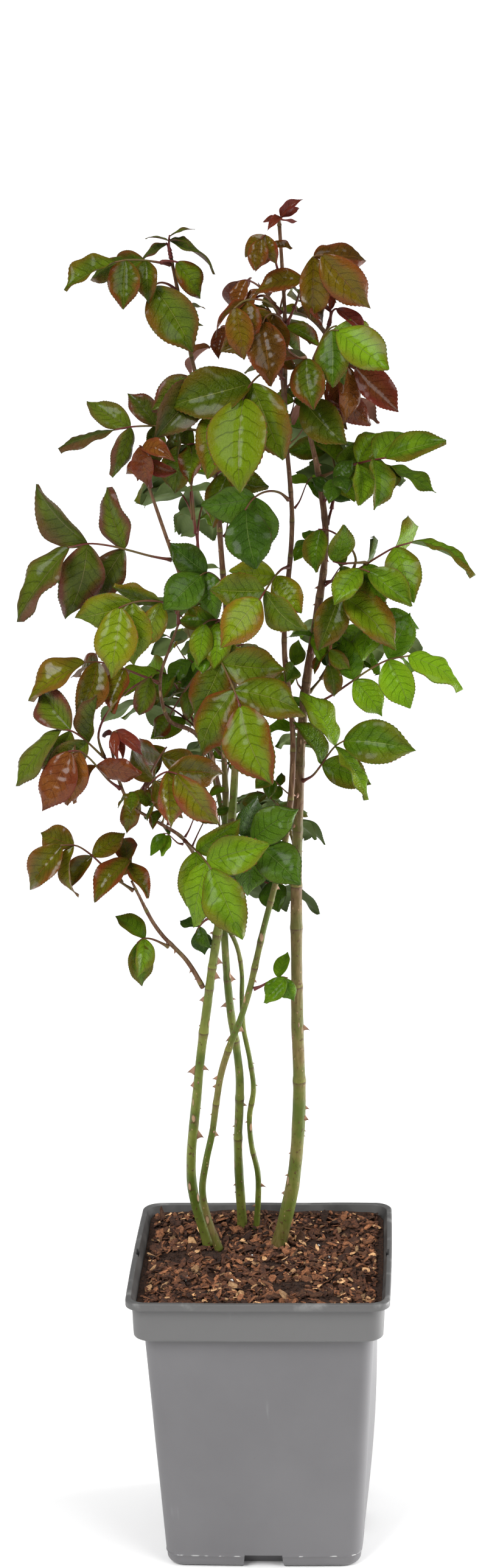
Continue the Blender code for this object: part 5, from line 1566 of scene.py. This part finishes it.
def placed(points, centre, yaw, pitch, roll):
    # turn each shape about its own x, then y, then z, and move it to its centre
    def spin(angle, a, b, shape):
        c, s = np.cos(angle)[:, None], np.sin(angle)[:, None]
        first, second = shape[..., a].copy(), shape[..., b].copy()
        shape[..., a], shape[..., b] = c * first - s * second, s * first + c * second
        return shape
    points = spin(roll, 1, 2, points)
    points = spin(pitch, 2, 0, points)
    points = spin(yaw, 0, 1, points)
    return points + centre[:, None]


def lumps(count, sizes, dice):
    # small uneven eight-cornered lumps
    corners = np.array([(a, b, c) for a in (-1, 1) for b in (-1, 1) for c in (-1, 1)], float) * 0.58
    size = dice.uniform(*sizes, (count, 1, 1)) / 2
    points = corners[None] * size * dice.uniform(0.55, 1.2, (count, 8, 3))
    x, y = scattered(count, 0.004, dice)
    centre = np.stack((x, y, mixHeight(x, y) + size[:, 0, 0] * 0.5), -1)
    return placed(points, centre, *dice.uniform(0, 2 * math.pi, (3, count)))


def buildMix():
    # the bed as squares that grow from its middle, then chips and lumps laid over it
    form = mixForm
    dice = np.random.default_rng(7)
    shares = np.linspace(0.02, 1, int(form["half"] / form["step"]))
    rows = [(0, form["half"] * share, form["corner"] * share, potForm["bow"] * share) for share in shares]
    bed = squareRings(rows)
    bed[..., 2] = mixHeight(bed[..., 0], bed[..., 1])
    foot = squareRings([(form["top"] - form["depth"], form["half"] - 0.003, form["corner"],
                         potForm["bow"])])
    rings = np.concatenate((bed, foot))[::-1]
    sides = rings.shape[1]
    vertices = [rings.reshape(-1, 3)]
    faceSets = tubeFaces(1, len(rings), sides)
    tones = [np.full(rings.shape[0] * sides, 0.5)]
    total = len(vertices[0])

    slab = slabs(form["chips"], dice)
    kinds = dice.choice([1, 2, 3], form["chips"], p=form["kinds"])
    walls = ringQuads(2, 6)
    ends = np.array([(5, 4, 3, 2, 1, 0), (6, 7, 8, 9, 10, 11)])
    faceSets += [(repeated(walls, form["chips"], 12) + total, np.repeat(kinds, 6)),
                 (repeated(ends, form["chips"], 12) + total, np.repeat(kinds, 2))]
    vertices.append(slab.reshape(-1, 3))
    tones.append(np.repeat(dice.uniform(0, 1, form["chips"]), 12))
    total += form["chips"] * 12

    for kind, (count, sizes) in form["lumps"].items():
        small = lumps(count, sizes, dice)
        faceSets.append((repeated(boxFaces, count, 8) + total, kind))
        vertices.append(small.reshape(-1, 3))
        tones.append(np.repeat(dice.uniform(0, 1, count), 8))
        total += count * 8
    piece = addPiece("mix_bed", np.vstack(vertices), faceSets, mixMaterials(),
                     values={"tone": np.concatenate(tones)}, smooth=False)
    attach(piece, "root")
    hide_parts("potting_mix")
    print("potting mix", len(piece.data.polygons), "faces")


buildMix()

# A plain pale floor, soft studio light and the camera, which looks down on the pot from its front.
studio = {
    "floorHalf": 60.0,
    "camera": (0.1399, -2.7303, 1.4250),
    "yaw": 0.0548, "pitch": -0.2689, "roll": -0.0211,  # radians
    "focal": 78.9, "sensor": 36.0,
    "worldFront": 0.20, "worldBack": 0.80, "worldSeen": 1.0,
    "lights": (  # name, kind, place, what it aims at, angle or side, power
        ("key", "SUN", (-1.3, -1.6, 2.6), (0, 0, 0.6), math.radians(32), 2.6),
        ("second", "SUN", (1.7, -1.3, 2.6), (0, 0, 0.6), math.radians(38), 1.45),
        ("low", "AREA", (1.1, 0.3, 0.25), (0, 0, 0.13), 0.5, 15)),
    "mirrored": 0.88,  # how much darker the world looks in a gloss
}


def buildStudio():
    # the floor, a world that is brighter behind and dimmer in a gloss, and the lights
    half = studio["floorHalf"]
    corners = np.array([(-half, -half, 0), (half, -half, 0), (half, half, 0), (-half, half, 0)])
    made, n, shader = newMaterial("floor", 0.9)
    n.put(shader["Base Color"], n.mix(n.noise(n.place(), 0.6), (0.93, 0.93, 0.93), (0.95, 0.95, 0.95)))
    floor = addPiece("floor", corners, [(np.array([(0, 1, 2, 3)]), 0)], [made], smooth=False)
    world = bpy.data.worlds.new("studio")
    world.use_nodes = True
    n = Nodes(world.node_tree)
    way = n.add("ShaderNodeSeparateXYZ", {0: n.add("ShaderNodeTexCoord").outputs["Generated"]}).outputs
    given = n.between(way[1], -0.35, 0.45, studio["worldFront"], studio["worldBack"])
    path = n.add("ShaderNodeLightPath").outputs
    seen = path["Is Camera Ray"]
    dimmed = n.fused(path["Is Glossy Ray"], -studio["mirrored"], 1.0)
    given = n.times(given, dimmed)
    strength = n.fused(seen, n.calc("SUBTRACT", studio["worldSeen"], given), given)
    n.put(world.node_tree.nodes["Background"].inputs[0], (1, 1, 1))
    n.put(world.node_tree.nodes["Background"].inputs[1], strength)
    bpy.context.scene.world = world
    bpy.context.scene.view_settings.view_transform = "Standard"
    for row in studio["lights"]:
        addLight(*row)


def addLight(name, kind, place, aim, size, power):
    # size is the angle of a sun or the side of an area light
    light = bpy.data.lights.new(name, kind)
    light.energy = power
    if kind == "SUN":
        light.angle = size
    else:
        light.size = size
    lamp = bpy.data.objects.new(name, light)
    away = unit(np.array(place, float) - np.array(aim, float))
    sideways = unit(np.cross((0, 0, 1), away))
    up = np.cross(away, sideways)
    lamp.matrix_world = Matrix([(*row, p) for row, p in zip(np.stack((sideways, up, away), 1), place)]
                               + [(0, 0, 0, 1)])
    bpy.context.scene.collection.objects.link(lamp)


def addCamera():
    # turned by yaw about the upright, pitched up from level, then rolled about its own axis
    yaw, pitch, roll = studio["yaw"], studio["pitch"], studio["roll"]
    right = np.array((math.cos(yaw), math.sin(yaw), 0))
    ahead = np.array((-math.sin(yaw), math.cos(yaw), 0))
    up = np.array((0, 0, 1.0))
    looking = ahead * math.cos(pitch) + up * math.sin(pitch)
    upward = up * math.cos(pitch) - ahead * math.sin(pitch)
    rolledRight = right * math.cos(roll) + upward * math.sin(roll)
    rolledUp = upward * math.cos(roll) - right * math.sin(roll)
    lens = bpy.data.cameras.new("camera")
    lens.sensor_width, lens.lens = studio["sensor"], studio["focal"]
    camera = bpy.data.objects.new("camera", lens)
    turned = np.stack((rolledRight, rolledUp, -looking), 1)
    camera.matrix_world = Matrix([(*row, p) for row, p in zip(turned, studio["camera"])] + [(0, 0, 0, 1)])
    bpy.context.scene.collection.objects.link(camera)
    bpy.context.scene.camera = camera


buildStudio()
addCamera()
print("studio ready")
